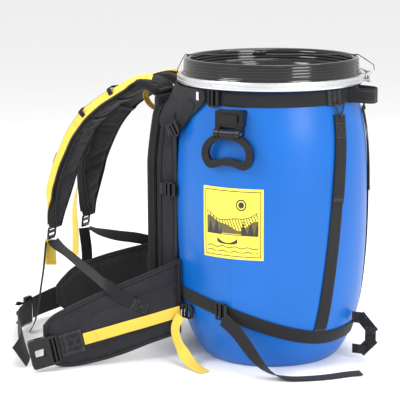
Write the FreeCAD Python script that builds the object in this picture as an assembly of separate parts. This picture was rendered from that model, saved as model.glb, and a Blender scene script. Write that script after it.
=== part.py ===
import FreeCAD, Part
import math
import os

# A sixty-litre food barrel carried on a padded harness, kept shut by a lever-lock ring.
# Millimetres. Origin on the barrel's axis at the floor, +Z up. The harness is on the -X side,
# and its wearer's left is -Y ("near"). Azimuths are degrees from +X, anticlockwise from above.

os.makedirs("parts", exist_ok=True)
V = FreeCAD.Vector
UP = V(0, 0, 1)

# ---- driving dimensions ------------------------------------------------------------------
barrel_height = 582.0        # floor to the underside of the mouth flange
belly_radius = 202.2
wall = 3.2
foot_radius = 0.6825 * belly_radius
neck_radius = 0.8877 * belly_radius
flange_radius = neck_radius + 13.0
flange_thickness = 5.0
mouth_radius = neck_radius - 13.5

gasket_thickness = 3.6
lid_thickness = 3.6
lid_rim_height = 36.0        # lid flange to the top of the upstand rim
lid_rim_radius = flange_radius - 10.7
lid_foot = 5.0               # how far the rim's foot flares out where it meets the flange
ring_radius = flange_radius + 3.9
ring_sheet = 1.4
ring_lip = 1.8

clearance = 0.3              # between curved faces of separate pieces
pin_clearance = 0.06

webbing_t = 2.0
band_width = 30.0
narrow_width = 25.0
belt_width = 50.0

# The harness is cut to fit its barrel: its routes are drawn for the first barrel's belly and
# height, and stretch with them. Webbing and foam keep their own widths and thicknesses.
fit_r = belly_radius / 202.2
fit_z = barrel_height / 582.0
panel_half_width = 132.0 * fit_r
panel_bottom = 62.0 * fit_z
panel_top = 530.0 * fit_z
panel_thickness = 24.9       # at the middle of the back
sheet_thickness = 6.0
strap_width = 78.0
strap_thickness = 24.0
strap_spacing = 68.0         # centre plane to a shoulder strap's middle
wing_thickness = 18.0

handle_axis_z = barrel_height - 86.0
handle_axis_out = belly_radius + 7.8
handle_width = 112.0
handle_drop = 70.0
handle_bar = 12.0
label_width_deg = 38.0
label_height = 145.0
label_bottom = 240.0

# ---- the barrel's outline ----------------------------------------------------------------
BODY = [(0.0, foot_radius / belly_radius), (0.017, 0.735), (0.069, 0.825), (0.155, 0.911),
        (0.275, 0.965), (0.43, 0.994), (0.584, 1.0), (0.739, 0.989), (0.859, 0.951),
        (0.936, 0.906), (1.0, neck_radius / belly_radius)]
TOP = barrel_height


def barrel_points(offset=0.0):
    return [V(belly_radius * r + offset, 0, TOP * z) for z, r in BODY]


def curve_through(points):
    curve = Part.BSplineCurve()
    curve.interpolate(points)
    return curve


OUTLINE = curve_through(barrel_points())


def radius_at(z):
    """Outer radius of the barrel at a height."""
    lo, hi = OUTLINE.FirstParameter, OUTLINE.LastParameter
    for _ in range(40):
        mid = (lo + hi) / 2
        if OUTLINE.value(mid).z < z:
            lo = mid
        else:
            hi = mid
    return OUTLINE.value(lo).x


# ---- helpers -----------------------------------------------------------------------------
def H(x, y, z):
    """A point on the harness, stretched to the barrel it is fitted to."""
    return V(x * fit_r, y * fit_r, z * fit_z)


def polar(radius, azimuth, z=0.0):
    a = math.radians(azimuth)
    return V(radius * math.cos(a), radius * math.sin(a), z)


def mirror_y(shape):
    return shape.mirror(V(0, 0, 0), V(0, 1, 0))


def spin(points, a0=0.0, sweep=360.0):
    """Solid of revolution of a closed outline given as (radius, z) corners."""
    wire = Part.makePolygon([V(r, 0, z) for r, z in points + points[:1]])
    face = Part.Face(wire)
    face.rotate(V(0, 0, 0), UP, a0)
    return face.revolve(V(0, 0, 0), UP, sweep)


def tube(r_in, r_out, z0, z1, a0=0.0, sweep=360.0):
    return spin([(r_in, z0), (r_out, z0), (r_out, z1), (r_in, z1)], a0, sweep)


def rod(start, end, radius):
    axis = end - start
    return Part.makeCylinder(radius, axis.Length, start, axis)


def block(x0, x1, y0, y1, z0, z1):
    return Part.makeBox(x1 - x0, y1 - y0, z1 - z0, V(x0, y0, z0))


def rounded_block(x0, x1, y0, y1, z0, z1, r, along="z"):
    shape = block(x0, x1, y0, y1, z0, z1)
    pick = {"x": V(1, 0, 0), "y": V(0, 1, 0), "z": UP}[along]
    edges = [e for e in shape.Edges if abs(e.tangentAt(e.FirstParameter).dot(pick)) > 0.99]
    return shape.makeFillet(r, edges)


def placed(shape, origin, x_axis, z_axis):
    """Move a shape drawn at the origin so that its X and Z lie along the given directions."""
    x = V(x_axis).normalize()
    z = V(z_axis)
    z = (z - x * z.dot(x)).normalize()
    moved = shape.copy()
    moved.Placement = FreeCAD.Placement(origin, FreeCAD.Rotation(x, z.cross(x), z, "ZXY"))
    return moved


def strip(points, across, width, thickness):
    """Flat webbing: a ruled solid through one rectangle at each point.

    across is one direction for the whole strip, or one for each point.
    """
    if not isinstance(across, list):
        across = [across] * len(points)
    wires = []
    for i, p in enumerate(points):
        ahead = points[min(i + 1, len(points) - 1)]
        behind = points[max(i - 1, 0)]
        along = (ahead - behind).normalize()
        side = across[i] - along * across[i].dot(along)
        side = side.normalize() * (width / 2)
        face = along.cross(side).normalize() * (thickness / 2)
        corners = [p + side + face, p - side + face, p - side - face, p + side - face]
        wires.append(Part.makePolygon(corners + corners[:1]))
    return Part.makeLoft(wires, True, True)


def smooth(points, count):
    """Points evenly spaced along a smooth curve through the given ones."""
    curve = curve_through(points)
    length = curve.length()
    return [curve.value(curve.parameterAtDistance(length * i / (count - 1), curve.FirstParameter))
            for i in range(count)]


def on_barrel(azimuth, z, out):
    """A point a distance outside the barrel's wall."""
    return polar(radius_at(z) + out, azimuth, z)


def rounded_route(points):
    """Straight runs joined by the largest tangent arcs that fit, as a wire."""
    edges, start = [], points[0]
    radii = []
    for i in range(1, len(points) - 1):
        a, b, c = points[i - 1], points[i], points[i + 1]
        into, out = (b - a), (c - b)
        run = min(into.Length, out.Length)
        into, out = V(into).normalize(), V(out).normalize()
        turn = into.getAngle(out)
        setback = 0.45 * run
        radii.append(setback / math.tan(turn / 2))
        p, q = b - into * setback, b + out * setback
        mid_dir = (out - into).normalize()
        radius = radii[-1]
        centre = b + mid_dir * math.hypot(setback, radius)
        middle = centre - mid_dir * radius
        edges.append(Part.LineSegment(start, p).toShape())
        edges.append(Part.Arc(p, middle, q).toShape())
        start = q
    edges.append(Part.LineSegment(start, points[-1]).toShape())
    return Part.Wire(edges), radii


def free_webbing(name, points, across, width):
    """A loose tail of webbing: its route is straight runs and tangent arcs."""
    wire, radii = rounded_route(points)
    count = max(8, int(wire.Length / 6))
    centres = wire.discretize(Number=count)
    if isinstance(across, list):
        marks = [0.0]
        for a, b in zip(points, points[1:]):
            marks.append(marks[-1] + (b - a).Length)
        sides = []
        for i in range(count):
            s = marks[-1] * i / (count - 1)
            k = max(j for j in range(len(marks)) if marks[j] <= s + 1e-9)
            k = min(k, len(marks) - 2)
            f = (s - marks[k]) / (marks[k + 1] - marks[k])
            sides.append((across[k] * (1 - f) + across[k + 1] * f).normalize())
    else:
        sides = across
    shape = strip(centres, sides, width, webbing_t)
    expected = width * webbing_t * wire.Length
    print(name, "length", round(wire.Length, 1), "radii", [round(r) for r in radii],
          "volume/section*length", round(shape.Volume / expected, 3))
    return shape


def group(shapes):
    return Part.makeCompound(shapes)


nodes = {}

# ---- barrel, lid and gasket --------------------------------------------------------------
def barrel():
    outer = OUTLINE.toShape()
    rim = TOP
    neck = neck_radius
    top = rim + flange_thickness
    edges = [outer]
    path = [(neck, rim), (flange_radius, rim), (flange_radius, top), (0, top)]
    edges += Part.makePolygon([V(r, 0, z) for r, z in path]).Edges
    edges.append(Part.makeLine(V(0, 0, top), V(0, 0, 0)))
    edges.append(Part.makeLine(V(0, 0, 0), OUTLINE.value(OUTLINE.FirstParameter)))
    solid = Part.Face(Part.Wire(Part.__sortEdges__(edges))).revolve(V(0, 0, 0), UP, 360)
    points = barrel_points(-wall)
    points[0] = V(points[0].x, 0, wall)
    inner = curve_through(points)
    hollow = [inner.toShape(), Part.makeLine(V(0, 0, wall), points[0]),
              Part.makeLine(points[-1], V(0, 0, TOP)), Part.makeLine(V(0, 0, TOP), V(0, 0, wall))]
    cavity = Part.Face(Part.Wire(Part.__sortEdges__(hollow))).revolve(V(0, 0, 0), UP, 360)
    mouth = tube(0, mouth_radius, TOP - 12, top + 1)
    throat = Part.makeCone(neck - wall, mouth_radius, 12, V(0, 0, TOP - 12))
    bored = solid.cut(cavity).cut(mouth).cut(throat)
    return bored


flange_top = TOP + flange_thickness
gasket_top = flange_top + gasket_thickness
lid_flange_top = gasket_top + lid_thickness
lid_top = lid_flange_top + lid_rim_height
rim_width = 12.0
recess_floor = lid_flange_top + 10.0
step_radius = mouth_radius - 18.0
step_depth = 7.0
plug_radius = mouth_radius - 1.5


def lid():
    t = lid_thickness
    r = lid_rim_radius
    inner = r - rim_width
    outline = [
        (0, recess_floor - step_depth), (step_radius, recess_floor - step_depth),
        (step_radius + 2, recess_floor), (inner - 4, recess_floor), (inner - 2, recess_floor + 3),
        (inner, lid_top - 4), (inner + 3, lid_top - 0.8), (inner + 6, lid_top),
        (r - 3, lid_top - 0.8), (r, lid_top - 4), (r + 1.5, lid_flange_top + 8),
        (r + lid_foot, lid_flange_top), (flange_radius, lid_flange_top), (flange_radius, gasket_top),
        (r + 1.5, gasket_top), (r - t, lid_flange_top + 6), (r - t, lid_top - 6),
        (inner + t, lid_top - 6), (inner + t - 1, recess_floor - t), (plug_radius, recess_floor - t),
        (plug_radius, flange_top - 10), (plug_radius - t, flange_top - 10),
        (plug_radius - t, recess_floor - t), (step_radius + 2, recess_floor - t),
        (step_radius, recess_floor - step_depth - t), (0, recess_floor - step_depth - t)]
    return spin(outline)


nodes["barrel_shell"] = barrel()
nodes["lid"] = lid()
nodes["lid_gasket"] = tube(mouth_radius + 4, flange_radius - 4, flange_top, gasket_top)

# ---- lever-lock ring ---------------------------------------------------------------------
latch_azimuth = 22.0         # the lever's pivot
gap_azimuth = 16.0           # middle of the ring's opening
gap_width_deg = 4.0
ring_bottom = TOP - clearance - ring_lip
ring_top = lid_flange_top + clearance + ring_lip
ring_inner = flange_radius + clearance
lip_inner = lid_rim_radius + lid_foot + clearance + 0.2


def locking_ring():
    z0, z1, lip = ring_bottom, ring_top, ring_lip
    bulge = (ring_radius - ring_inner) / 3
    outline = [(lip_inner, z0), (ring_radius - bulge, z0), (ring_radius, z0 + 2.5),
               (ring_radius, z0 + 6.5), (ring_radius - bulge, z0 + 8.0),
               (ring_radius - bulge, z1 - 8.0), (ring_radius, z1 - 6.5), (ring_radius, z1 - 2.5),
               (ring_radius - bulge, z1), (lip_inner, z1), (lip_inner, z1 - lip),
               (ring_inner, z1 - lip), (ring_inner, z0 + lip), (lip_inner, z0 + lip)]
    start = gap_azimuth + gap_width_deg / 2
    return spin(outline, start, 360.0 - gap_width_deg)


ring_mid = (ring_bottom + ring_top) / 2
pivot_radius = ring_radius + 7.0
plate = 2.4
half_gap = 2.6               # half the height the link passes through
ear_z = half_gap + 2.0       # inner faces of the ears, from the ring's middle
lever_z = ear_z + plate + 0.4
pin_radius = 2.4
head_t = 1.2                 # rivet and pin heads
link_reach = 12.0            # pivot to the link's pin on the lever
link_length = 42.0


def local(u, v, dz=0.0):
    """A point near the latch: u along the ring from the pivot, v outwards from it."""
    base = polar(pivot_radius, latch_azimuth, ring_mid)
    out = polar(1, latch_azimuth)
    along = polar(1, latch_azimuth + 90)
    return base + along * u + out * v + UP * dz


def plate_at(outline, dz0, dz1):
    """A flat plate square to Z, its outline given as (u, v) pairs."""
    wire = Part.makePolygon([local(u, v, dz0) for u, v in outline + outline[:1]])
    return Part.Face(wire).extrude(UP * (dz1 - dz0))


link_pin = (link_reach, -1.5)
hook_pin = (link_reach - link_length, 0.0)
ring_gap_v = ring_radius + 0.25 - pivot_radius


def pair(shape_at):
    """The same plate above and below the ring's middle."""
    return [shape_at(ear_z, ear_z + plate), shape_at(-ear_z - plate, -ear_z)]


def pivot_bracket():
    outline = [(-7, ring_gap_v), (7, ring_gap_v), (5.5, 0), (3.5, 4.5), (-3.5, 4.5), (-5.5, 0)]
    ears = pair(lambda a, b: plate_at(outline, a, b))
    back = plate_at([(-7, ring_gap_v), (7, ring_gap_v), (7, ring_gap_v + 1.6), (-7, ring_gap_v + 1.6)],
                    -ear_z - plate, ear_z + plate)
    body = back.fuse(ears)
    hole = rod(local(0, 0, -20), local(0, 0, 20), pin_radius + pin_clearance)
    return body.cut(hole)


def hook_bracket():
    u, v = hook_pin
    drop = ring_gap_v - 1.0
    finger = [(u + 2.9, drop + 0.6), (u + 7.5, drop + 0.8), (u + 6.5, v + 3.5), (u + 2.9, v + 3.5)]
    fingers = pair(lambda a, b: plate_at(finger, a, b))
    back = plate_at([(u + 2.9, drop), (u + 12, drop + 0.6), (u + 12, drop + 2.2), (u + 2.9, drop + 2.0)],
                    -ear_z - plate, ear_z + plate)
    body = back.fuse(fingers)
    return body.cut(tube(0, ring_radius + 0.2, ring_bottom - 5, ring_top + 5))


def latch_link():
    u, v = link_pin
    hu, hv = hook_pin
    bar = plate_at([(u, v + 3), (hu, hv + 2.6), (hu, hv - 2.6), (u, v - 3)], -half_gap + 0.3, half_gap - 0.3)
    eye = rod(local(u, v, -half_gap + 0.3), local(u, v, half_gap - 0.3), 5.2)
    cross = rod(local(hu, hv, -ear_z - plate + 0.2), local(hu, hv, ear_z + plate - 0.2), 2.5)
    body = bar.fuse([eye, cross])
    return body.cut(rod(local(u, v, -20), local(u, v, 20), pin_radius + pin_clearance))


lever_span = 32.0            # degrees of ring that the closed lever covers
lever_web_from = 6.5
lever_depth = 11.0
web_t = 2.2


def lever():
    r0 = ring_radius + 2.2
    r1 = pivot_radius + 5.0
    low, high = -lever_z - plate, lever_z + plate
    end = latch_azimuth + lever_span
    sides = []
    for a, b in ((lever_z, high), (low, -lever_z)):
        arc = tube(r0, r1, ring_mid + a, ring_mid + b, latch_azimuth, lever_span)
        nose = rod(local(0, 0, a), local(0, 0, b), 5.6)
        sides.append(arc.fuse(nose))
    web = tube(r1, r1 + web_t, ring_mid + low, ring_mid + high,
               latch_azimuth + lever_web_from, lever_span - lever_web_from)
    tip = tube(r1 + web_t - 0.4, r1 + web_t + 5, ring_mid + low + 2, ring_mid + high - 2, end - 1.5, 1.5)
    body = web.fuse(sides + [tip])
    for u, v in ((0, 0), link_pin):
        body = body.cut(rod(local(u, v, -20), local(u, v, 20), pin_radius))
    hasp = tube(r1 - 4, r1 + 8, ring_mid - 6.5, ring_mid + 6.5, hasp_azimuth - 1.2, 2.4)
    return body.cut(hasp)


hasp_azimuth = latch_azimuth + 24.0


def hasp():
    r0 = ring_radius + 0.25
    foot = tube(r0, r0 + 1.6, ring_mid - 9, ring_mid + 9, hasp_azimuth - 0.45, 2.6)
    tongue = tube(r0, pivot_radius + 15.0, ring_mid - 5, ring_mid + 5, hasp_azimuth - 0.35, 0.7)
    hole_centre = polar(pivot_radius + 11.0, hasp_azimuth, ring_mid)
    across = polar(10, hasp_azimuth + 90)
    return foot.fuse(tongue).cut(rod(hole_centre - across, hole_centre + across, 2.2))


def latch_pins():
    """Two rivets at the lever's pivot and one long pin through the link, with flat heads."""
    top = lever_z + plate
    u, v = link_pin
    pins = []
    heads = []
    for side in (1, -1):
        stub = rod(local(0, 0, side * (ear_z - 0.6)), local(0, 0, side * top), pin_radius)
        head = rod(local(0, 0, side * top), local(0, 0, side * (top + head_t)), pin_radius + 1.6)
        pins.append(stub.fuse(head))
        heads.append(rod(local(u, v, side * top), local(u, v, side * (top + head_t)), pin_radius + 1.4))
    pin = rod(local(u, v, -top), local(u, v, top), pin_radius)
    pins.append(pin.fuse(heads))
    return group(pins)


nodes["locking_ring"] = locking_ring()
nodes["latch_pivot_bracket"] = pivot_bracket()
nodes["latch_hook_bracket"] = hook_bracket()
nodes["latch_link"] = latch_link()
nodes["latch_lever"] = lever()
nodes["latch_pins"] = latch_pins()
nodes["padlock_hasp"] = hasp()

# ---- swing handles -----------------------------------------------------------------------
handle_pin_radius = 3.0
knuckle_radius = 9.0
knuckle_half = 16.5
ear_inner = 17.0
ear_outer = 28.0
bracket_top = handle_axis_z + 45.0
bracket_half = 30.0
bracket_depth = 40.0         # from the pin inwards, before the barrel's wall is cut away


def handle_bracket():
    """Near side: a plate on the barrel's wall with two ears that hold the pin."""
    y_axis, z = -handle_axis_out, handle_axis_z
    plate_solid = rounded_block(-bracket_half, bracket_half, y_axis + 4, y_axis + bracket_depth,
                                z + 11.5, bracket_top, 4, "y")
    rib = rounded_block(-20, 20, y_axis - 2, y_axis + bracket_depth - 10, z + 20, bracket_top - 8, 3, "y")
    body = plate_solid.fuse(rib)
    for side in (-1, 1):
        a, b = sorted((side * ear_inner, side * ear_outer))
        ear = rod(V(a, y_axis, z), V(b, y_axis, z), 10.0)
        root = block(a, b, y_axis, y_axis + bracket_depth - 10, z - 6, z + 14)
        body = body.fuse([ear, root])
    body = body.cut(rod(V(-40, y_axis, z), V(40, y_axis, z), handle_pin_radius))
    skin = curve_through(barrel_points(clearance)).toShape()
    top = skin.Vertexes[-1].Point
    bottom = skin.Vertexes[0].Point
    loop = Part.Wire(Part.__sortEdges__([
        skin, Part.makeLine(V(*top), V(0, 0, top[2])), Part.makeLine(V(0, 0, top[2]), V(0, 0, bottom[2])),
        Part.makeLine(V(0, 0, bottom[2]), V(*bottom))]))
    return body.cut(Part.Face(loop).revolve(V(0, 0, 0), UP, 360))


def handle_loop():
    """Near side: a wide D that hangs from the pin."""
    w, drop, bar = handle_width / 2, handle_drop, handle_bar
    y0 = -handle_axis_out - bar / 2
    z = handle_axis_z
    outer = curve_through([V(0, 0, z + 2), V(w * 0.55, 0, z - 5), V(w * 0.9, 0, z - 22), V(w, 0, z - 40),
                           V(w * 0.93, 0, z - drop + 12), V(w * 0.72, 0, z - drop),
                           V(w * 0.3, 0, z - drop + 4), V(0, 0, z - drop + 6)])
    inner = curve_through([V(0, 0, z - 13), V(w * 0.45, 0, z - 17), V(w * 0.68, 0, z - 28),
                           V(w * 0.74, 0, z - 42), V(w * 0.66, 0, z - drop + 17),
                           V(w * 0.3, 0, z - drop + 19), V(0, 0, z - drop + 20)])
    halves = []
    for sign in (1, -1):
        a = outer.toShape()
        b = inner.toShape()
        wire = Part.Wire(Part.__sortEdges__([
            a, b, Part.makeLine(V(0, 0, z + 2), V(0, 0, z - 13)),
            Part.makeLine(V(0, 0, z - drop + 6), V(0, 0, z - drop + 20))]))
        half = Part.Face(wire).extrude(V(0, bar, 0))
        half.translate(V(0, y0, 0))
        if sign < 0:
            half = half.mirror(V(0, 0, 0), V(1, 0, 0))
        halves.append(half)
    body = halves[0].fuse(halves[1])
    axis_y = -handle_axis_out
    for side in (-1, 1):
        a, b = sorted((side * (ear_inner - 0.5), side * (ear_outer + 1.2)))
        body = body.cut(rod(V(a, axis_y, z), V(b, axis_y, z), 10.8))
    above = block(-80, 80, axis_y - 20, axis_y + 20, z - 1, z + 30)
    body = body.cut(above)
    knuckle = rod(V(-knuckle_half, axis_y, z), V(knuckle_half, axis_y, z), knuckle_radius)
    body = body.fuse(knuckle)
    return body.cut(rod(V(-40, axis_y, z), V(40, axis_y, z), handle_pin_radius + pin_clearance))


near_bracket = handle_bracket()
near_handle = handle_loop()
near_pin = rod(V(-ear_outer - 1, -handle_axis_out, handle_axis_z),
               V(ear_outer + 1, -handle_axis_out, handle_axis_z), handle_pin_radius)
nodes["handle_bracket_near"] = near_bracket
nodes["handle_bracket_far"] = mirror_y(near_bracket)
nodes["handle_near"] = near_handle
nodes["handle_far"] = mirror_y(near_handle)
nodes["handle_pins"] = group([near_pin, mirror_y(near_pin)])

# ---- label -------------------------------------------------------------------------------
def label():
    z0 = label_bottom * fit_z
    z1 = z0 + label_height * fit_z
    heights = [z0 + (z1 - z0) * i / 6 for i in range(7)]
    inner = curve_through([V(radius_at(z) + 0.1, 0, z) for z in heights])
    outer = curve_through([V(radius_at(z) + 0.45, 0, z) for z in heights])
    ends = [Part.makeLine(inner.StartPoint, outer.StartPoint), Part.makeLine(inner.EndPoint, outer.EndPoint)]
    face = Part.Face(Part.Wire(Part.__sortEdges__([inner.toShape(), outer.toShape()] + ends)))
    face.rotate(V(0, 0, 0), UP, -89.0 - label_width_deg / 2)
    return face.revolve(V(0, 0, 0), UP, label_width_deg)


nodes["label"] = label()

# ---- moulded webbing hardware ------------------------------------------------------------
frame_side = 3.0             # side bar of a ladder lock, outside its webbing


def ladder_lock(width):
    """Drawn flat: webbing runs along X, its width lies along Y."""
    w, length, t = width + 2 * frame_side, 24.0, 4.4
    frame = rounded_block(-length / 2, length / 2, -w / 2, w / 2, -t / 2, t / 2, 4.0)
    slot = width + 1.6
    for x0, x1 in ((-8.4, -4.4), (1.2, 8.2)):
        frame = frame.cut(block(x0, x1, -slot / 2, slot / 2, -t, t))
    lip = rounded_block(length / 2 - 3, length / 2 + 4, -w / 2 + 3, w / 2 - 3, -t / 2, t / 2 + 1.4, 1.6, "y")
    return frame.fuse(lip)


buckle_length = 60.0
buckle_width = belt_width + 12.0
buckle_t = 13.0


def buckle_socket():
    """Female half of a side-release buckle, drawn flat, with its mouth at +X."""
    w, t = buckle_width, buckle_t
    body = rounded_block(0, buckle_length, -w / 2, w / 2, -t / 2, t / 2, 6.0)
    body = body.cut(block(20, buckle_length + 1, -w / 2 + 8, w / 2 - 8, -t / 2 + 2.6, t / 2 - 2.6))
    for side in (-1, 1):
        y0, y1 = sorted((side * (w / 2 - 8.2), side * (w / 2 + 1)))
        body = body.cut(block(30, 46, y0, y1, -t / 2 + 2.6, t / 2 - 2.6))
    slot = belt_width + 1.6
    for x0, x1 in ((3.6, 7.6), (11.2, 16.4)):
        body = body.cut(block(x0, x1, -slot / 2, slot / 2, -t, t))
    window = rounded_block(28, 50, -9, 9, -t, t, 3.0)
    return body.cut(window)


def buckle_plug():
    """Male half: a ladder end and two sprung prongs, drawn flat, with its prongs at +X."""
    w, t = buckle_width, 8.0
    base = rounded_block(0, 24, -w / 2, w / 2, -t / 2, t / 2, 3.0)
    slot = belt_width + 1.6
    for x0, x1 in ((3.6, 7.6), (11.2, 16.4)):
        base = base.cut(block(x0, x1, -slot / 2, slot / 2, -t, t))
    parts = [rounded_block(20, 54, -5, 5, -3, 3, 2.5)]
    for s in (-1, 1):
        outline = [(22, s * 17), (50, s * 18), (58, s * 21), (50, s * 27), (40, s * 25),
                   (40, s * 21.5), (22, s * 20.5)]
        wire = Part.makePolygon([V(x, y, -3) for x, y in outline + outline[:1]])
        parts.append(Part.Face(wire).extrude(V(0, 0, 6)))
    return base.fuse(parts)


# ---- harness: frame sheet, back panel, yoke, lumbar pad ----------------------------------
sheet_inner = belly_radius + clearance + 0.6
sheet_outer = sheet_inner + sheet_thickness
sheet_half_deg = 40.0
sheet_bottom = panel_bottom + 12.0
sheet_top = panel_top - 12.0
panel_front = sheet_outer + panel_thickness
yoke_top = panel_top + 20.0
lumbar_thickness = 20.0


def back_panel():
    """A pad hollowed at its rear to sit on the frame sheet."""
    half, z0, z1 = panel_half_width, panel_bottom, panel_top
    shoulder = 34.0
    waist = z1 - 120 * fit_z
    outline = [V(0, -half, z0), V(0, half, z0), V(0, half, waist), V(0, half - shoulder, z1),
               V(0, -half + shoulder, z1), V(0, -half, waist)]
    face = Part.Face(Part.makePolygon(outline + outline[:1]))
    pad = face.extrude(V(-panel_front, 0, 0))
    pad = pad.common(block(-panel_front, -140 * fit_r, -half - 1, half + 1, z0 - 1, z1 + 1))
    front = [e for e in pad.Edges if all(abs(v.X + panel_front) < 0.01 for v in e.Vertexes)]
    pad = pad.makeFillet(16.0, front)
    return pad.cut(tube(0, sheet_outer + 0.05, z0 - 5, z1 + 5))


def soft_block(x0, x1, half, z0, z1, r):
    shape = block(x0, x1, -half, half, z0, z1)
    front = [e for e in shape.Edges if all(abs(v.X - x0) < 0.01 for v in e.Vertexes)]
    return shape.makeFillet(r, front)


nodes["frame_sheet"] = tube(sheet_inner, sheet_outer, sheet_bottom, sheet_top,
                            180 - sheet_half_deg, 2 * sheet_half_deg)
nodes["back_panel"] = back_panel()
nodes["lumbar_pad"] = soft_block(-panel_front - lumbar_thickness, -panel_front - 0.05,
                                 96 * fit_r, 84 * fit_z, 214 * fit_z, 12)
nodes["yoke_pad"] = soft_block(-panel_front + 2, -sheet_outer - 0.5, 98 * fit_r,
                               panel_top + 0.05, yoke_top, 6)

# ---- shoulder straps ---------------------------------------------------------------------
STRAP_PATH = [(-222, 58, 550.5), (-231, 60, 562), (-250, 62, 570), (-270, 64, 567), (-315, 67, 544),
              (-365, 68, 512), (-401, 68, 478), (-427, 69, 441), (-456, 70, 382), (-470, 71, 341),
              (-487, 72, 276), (-492, 73, 238)]


def strap_centres(count):
    k = strap_spacing / 68.0
    return smooth([H(x, -y * k, z) for x, y, z in STRAP_PATH], count)


def strap_face(count, out):
    """Points on the outer (+) or inner (-) side of the near shoulder strap."""
    centres = strap_centres(count)
    result = []
    for i, p in enumerate(centres):
        along = (centres[min(i + 1, count - 1)] - centres[max(i - 1, 0)]).normalize()
        normal = V(0, 1, 0).cross(along).normalize()
        if normal.x > 0 and i > count // 3:
            normal = normal * -1
        if i <= count // 3 and normal.z < 0:
            normal = normal * -1
        result.append(p + normal * out)
    return result


Y = V(0, 1, 0)
near_strap = strip(strap_centres(22), Y, strap_width, strap_thickness).cut(nodes["yoke_pad"])
nodes["shoulder_strap_near"] = near_strap
nodes["shoulder_strap_far"] = mirror_y(near_strap)

lifter_out = strap_thickness / 2 + webbing_t / 2 + 0.4
lifter_side = V(0, -20.0, 0)    # the webbing lies off the strap's middle, to the same side on both
lifter_points = [p + lifter_side for p in strap_face(40, lifter_out)[5:39]]
near_lifter = strip(lifter_points, Y, narrow_width, webbing_t)


def far_copy(shape):
    """A piece of the near strap's webbing, mirrored and shifted the same way as the near one."""
    copy = mirror_y(shape)
    copy.translate(lifter_side * 2)
    return copy


nodes["load_lifter_near"] = near_lifter
nodes["load_lifter_far"] = far_copy(near_lifter)


def keeper(index):
    """An elastic loop round the strap and the webbing on it."""
    centres = strap_centres(40)
    p = centres[index]
    along = (centres[index + 1] - centres[index - 1]).normalize()
    outward = strap_face(40, 1.0)[index] - p
    w, t = strap_width + 3.0, strap_thickness + 6.8
    outer = block(-5, 5, -w / 2, w / 2, -t / 2, t / 2)
    inner = block(-6, 6, -w / 2 + 1.2, w / 2 - 1.2, -t / 2 + 1.2, t / 2 - 1.2)
    return placed(outer.cut(inner), p + outward * 0.6, along, outward)


nodes["strap_keepers"] = group([s for i in (9, 16) for s in (keeper(i), mirror_y(keeper(i)))])


def sternum_slider():
    face = strap_face(40, strap_thickness / 2 + webbing_t + 3.2)
    p, along = face[26], (face[27] - face[25]).normalize()
    outward = p - strap_centres(40)[26]
    return placed(ladder_lock(narrow_width), p + lifter_side, along, outward)


near_slider = sternum_slider()
nodes["strap_sliders"] = group([near_slider, far_copy(near_slider)])

strap_end = strap_centres(40)[-1]
lock_point = strap_end + V(-9, -1, -14)
lock_down = V(-0.12, 0, -1)
near_end_lock = placed(ladder_lock(narrow_width), lock_point, lock_down, V(-1, 0, 0.12))

# ---- hip wings ---------------------------------------------------------------------------
wing_root = H(-148, -148, 0)
wing_dir = V(-0.739, -0.674, 0)
wing_out = V(0.674, -0.739, 0)
NEAR_WING = [(-6, 54, 212), (57, 38, 189), (119, 19, 168), (177, 7, 148), (232, 2.4, 126), (264, 9, 111),
             (284, 28, 92)]
FAR_WING = [(-166, 151, 60, 212), (-215, 152, 50, 203), (-280, 134, 42, 192), (-340, 107, 33, 178),
            (-400, 78, 22, 162), (-455, 55, 12, 144), (-505, 32, 10, 121), (-530, 18, 22, 96),
            (-544, 9, 38, 76)]


def upright_pad(stations, thickness):
    """A pad standing on edge, through (point, low, high) stations."""
    wires = []
    for i, (p, low, high) in enumerate(stations):
        ahead = stations[min(i + 1, len(stations) - 1)][0]
        behind = stations[max(i - 1, 0)][0]
        across = UP.cross(ahead - behind).normalize() * (thickness / 2)
        corners = [p + across + UP * low, p + across + UP * high,
                   p - across + UP * high, p - across + UP * low]
        wires.append(Part.makePolygon(corners + corners[:1]))
    return Part.makeLoft(wires, True, True)


def wing_point(u, z, out):
    """A point on the near wing: u along it from its root, a distance outside its middle."""
    return wing_root + wing_dir * (u * fit_r) + wing_out * out + UP * (z * fit_z)


nodes["hip_wing_near"] = upright_pad(
    [(wing_point(u, 0, 0), a * fit_z, b * fit_z) for u, a, b in NEAR_WING], wing_thickness)
nodes["hip_wing_far"] = upright_pad(
    [(H(x, y, 0), a * fit_z, b * fit_z) for x, y, a, b in FAR_WING], wing_thickness)

wing_face = wing_thickness / 2 + webbing_t / 2 + 0.3
belt_fall = 0.208
drawn_thickness = 18.0       # the wings' thickness that the routes beside them were laid for
wing_slack = wing_face * (1 - fit_r) + (wing_thickness - drawn_thickness) / 2


def belt_z(u):
    return 56.0 - belt_fall * (u - 218.0)


nodes["hip_webbing_near"] = strip([wing_point(u, belt_z(u), wing_face) for u in (206, 225, 247, 262)],
                                  UP, belt_width, webbing_t)
belt_dir = (wing_point(300, belt_z(300), 0) - wing_point(250, belt_z(250), 0)).normalize()
nodes["hip_buckle_socket"] = placed(buckle_socket(), wing_point(258, belt_z(258), wing_face + 8.0),
                                    belt_dir, wing_out)

FAR_OUT = V(-0.43, 0.90, 0)


def beside_far_wing(x, y, z):
    """A point next to the far wing; its distance from the wing's middle doesn't stretch."""
    return H(x, y, z) + FAR_OUT * wing_slack


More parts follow.
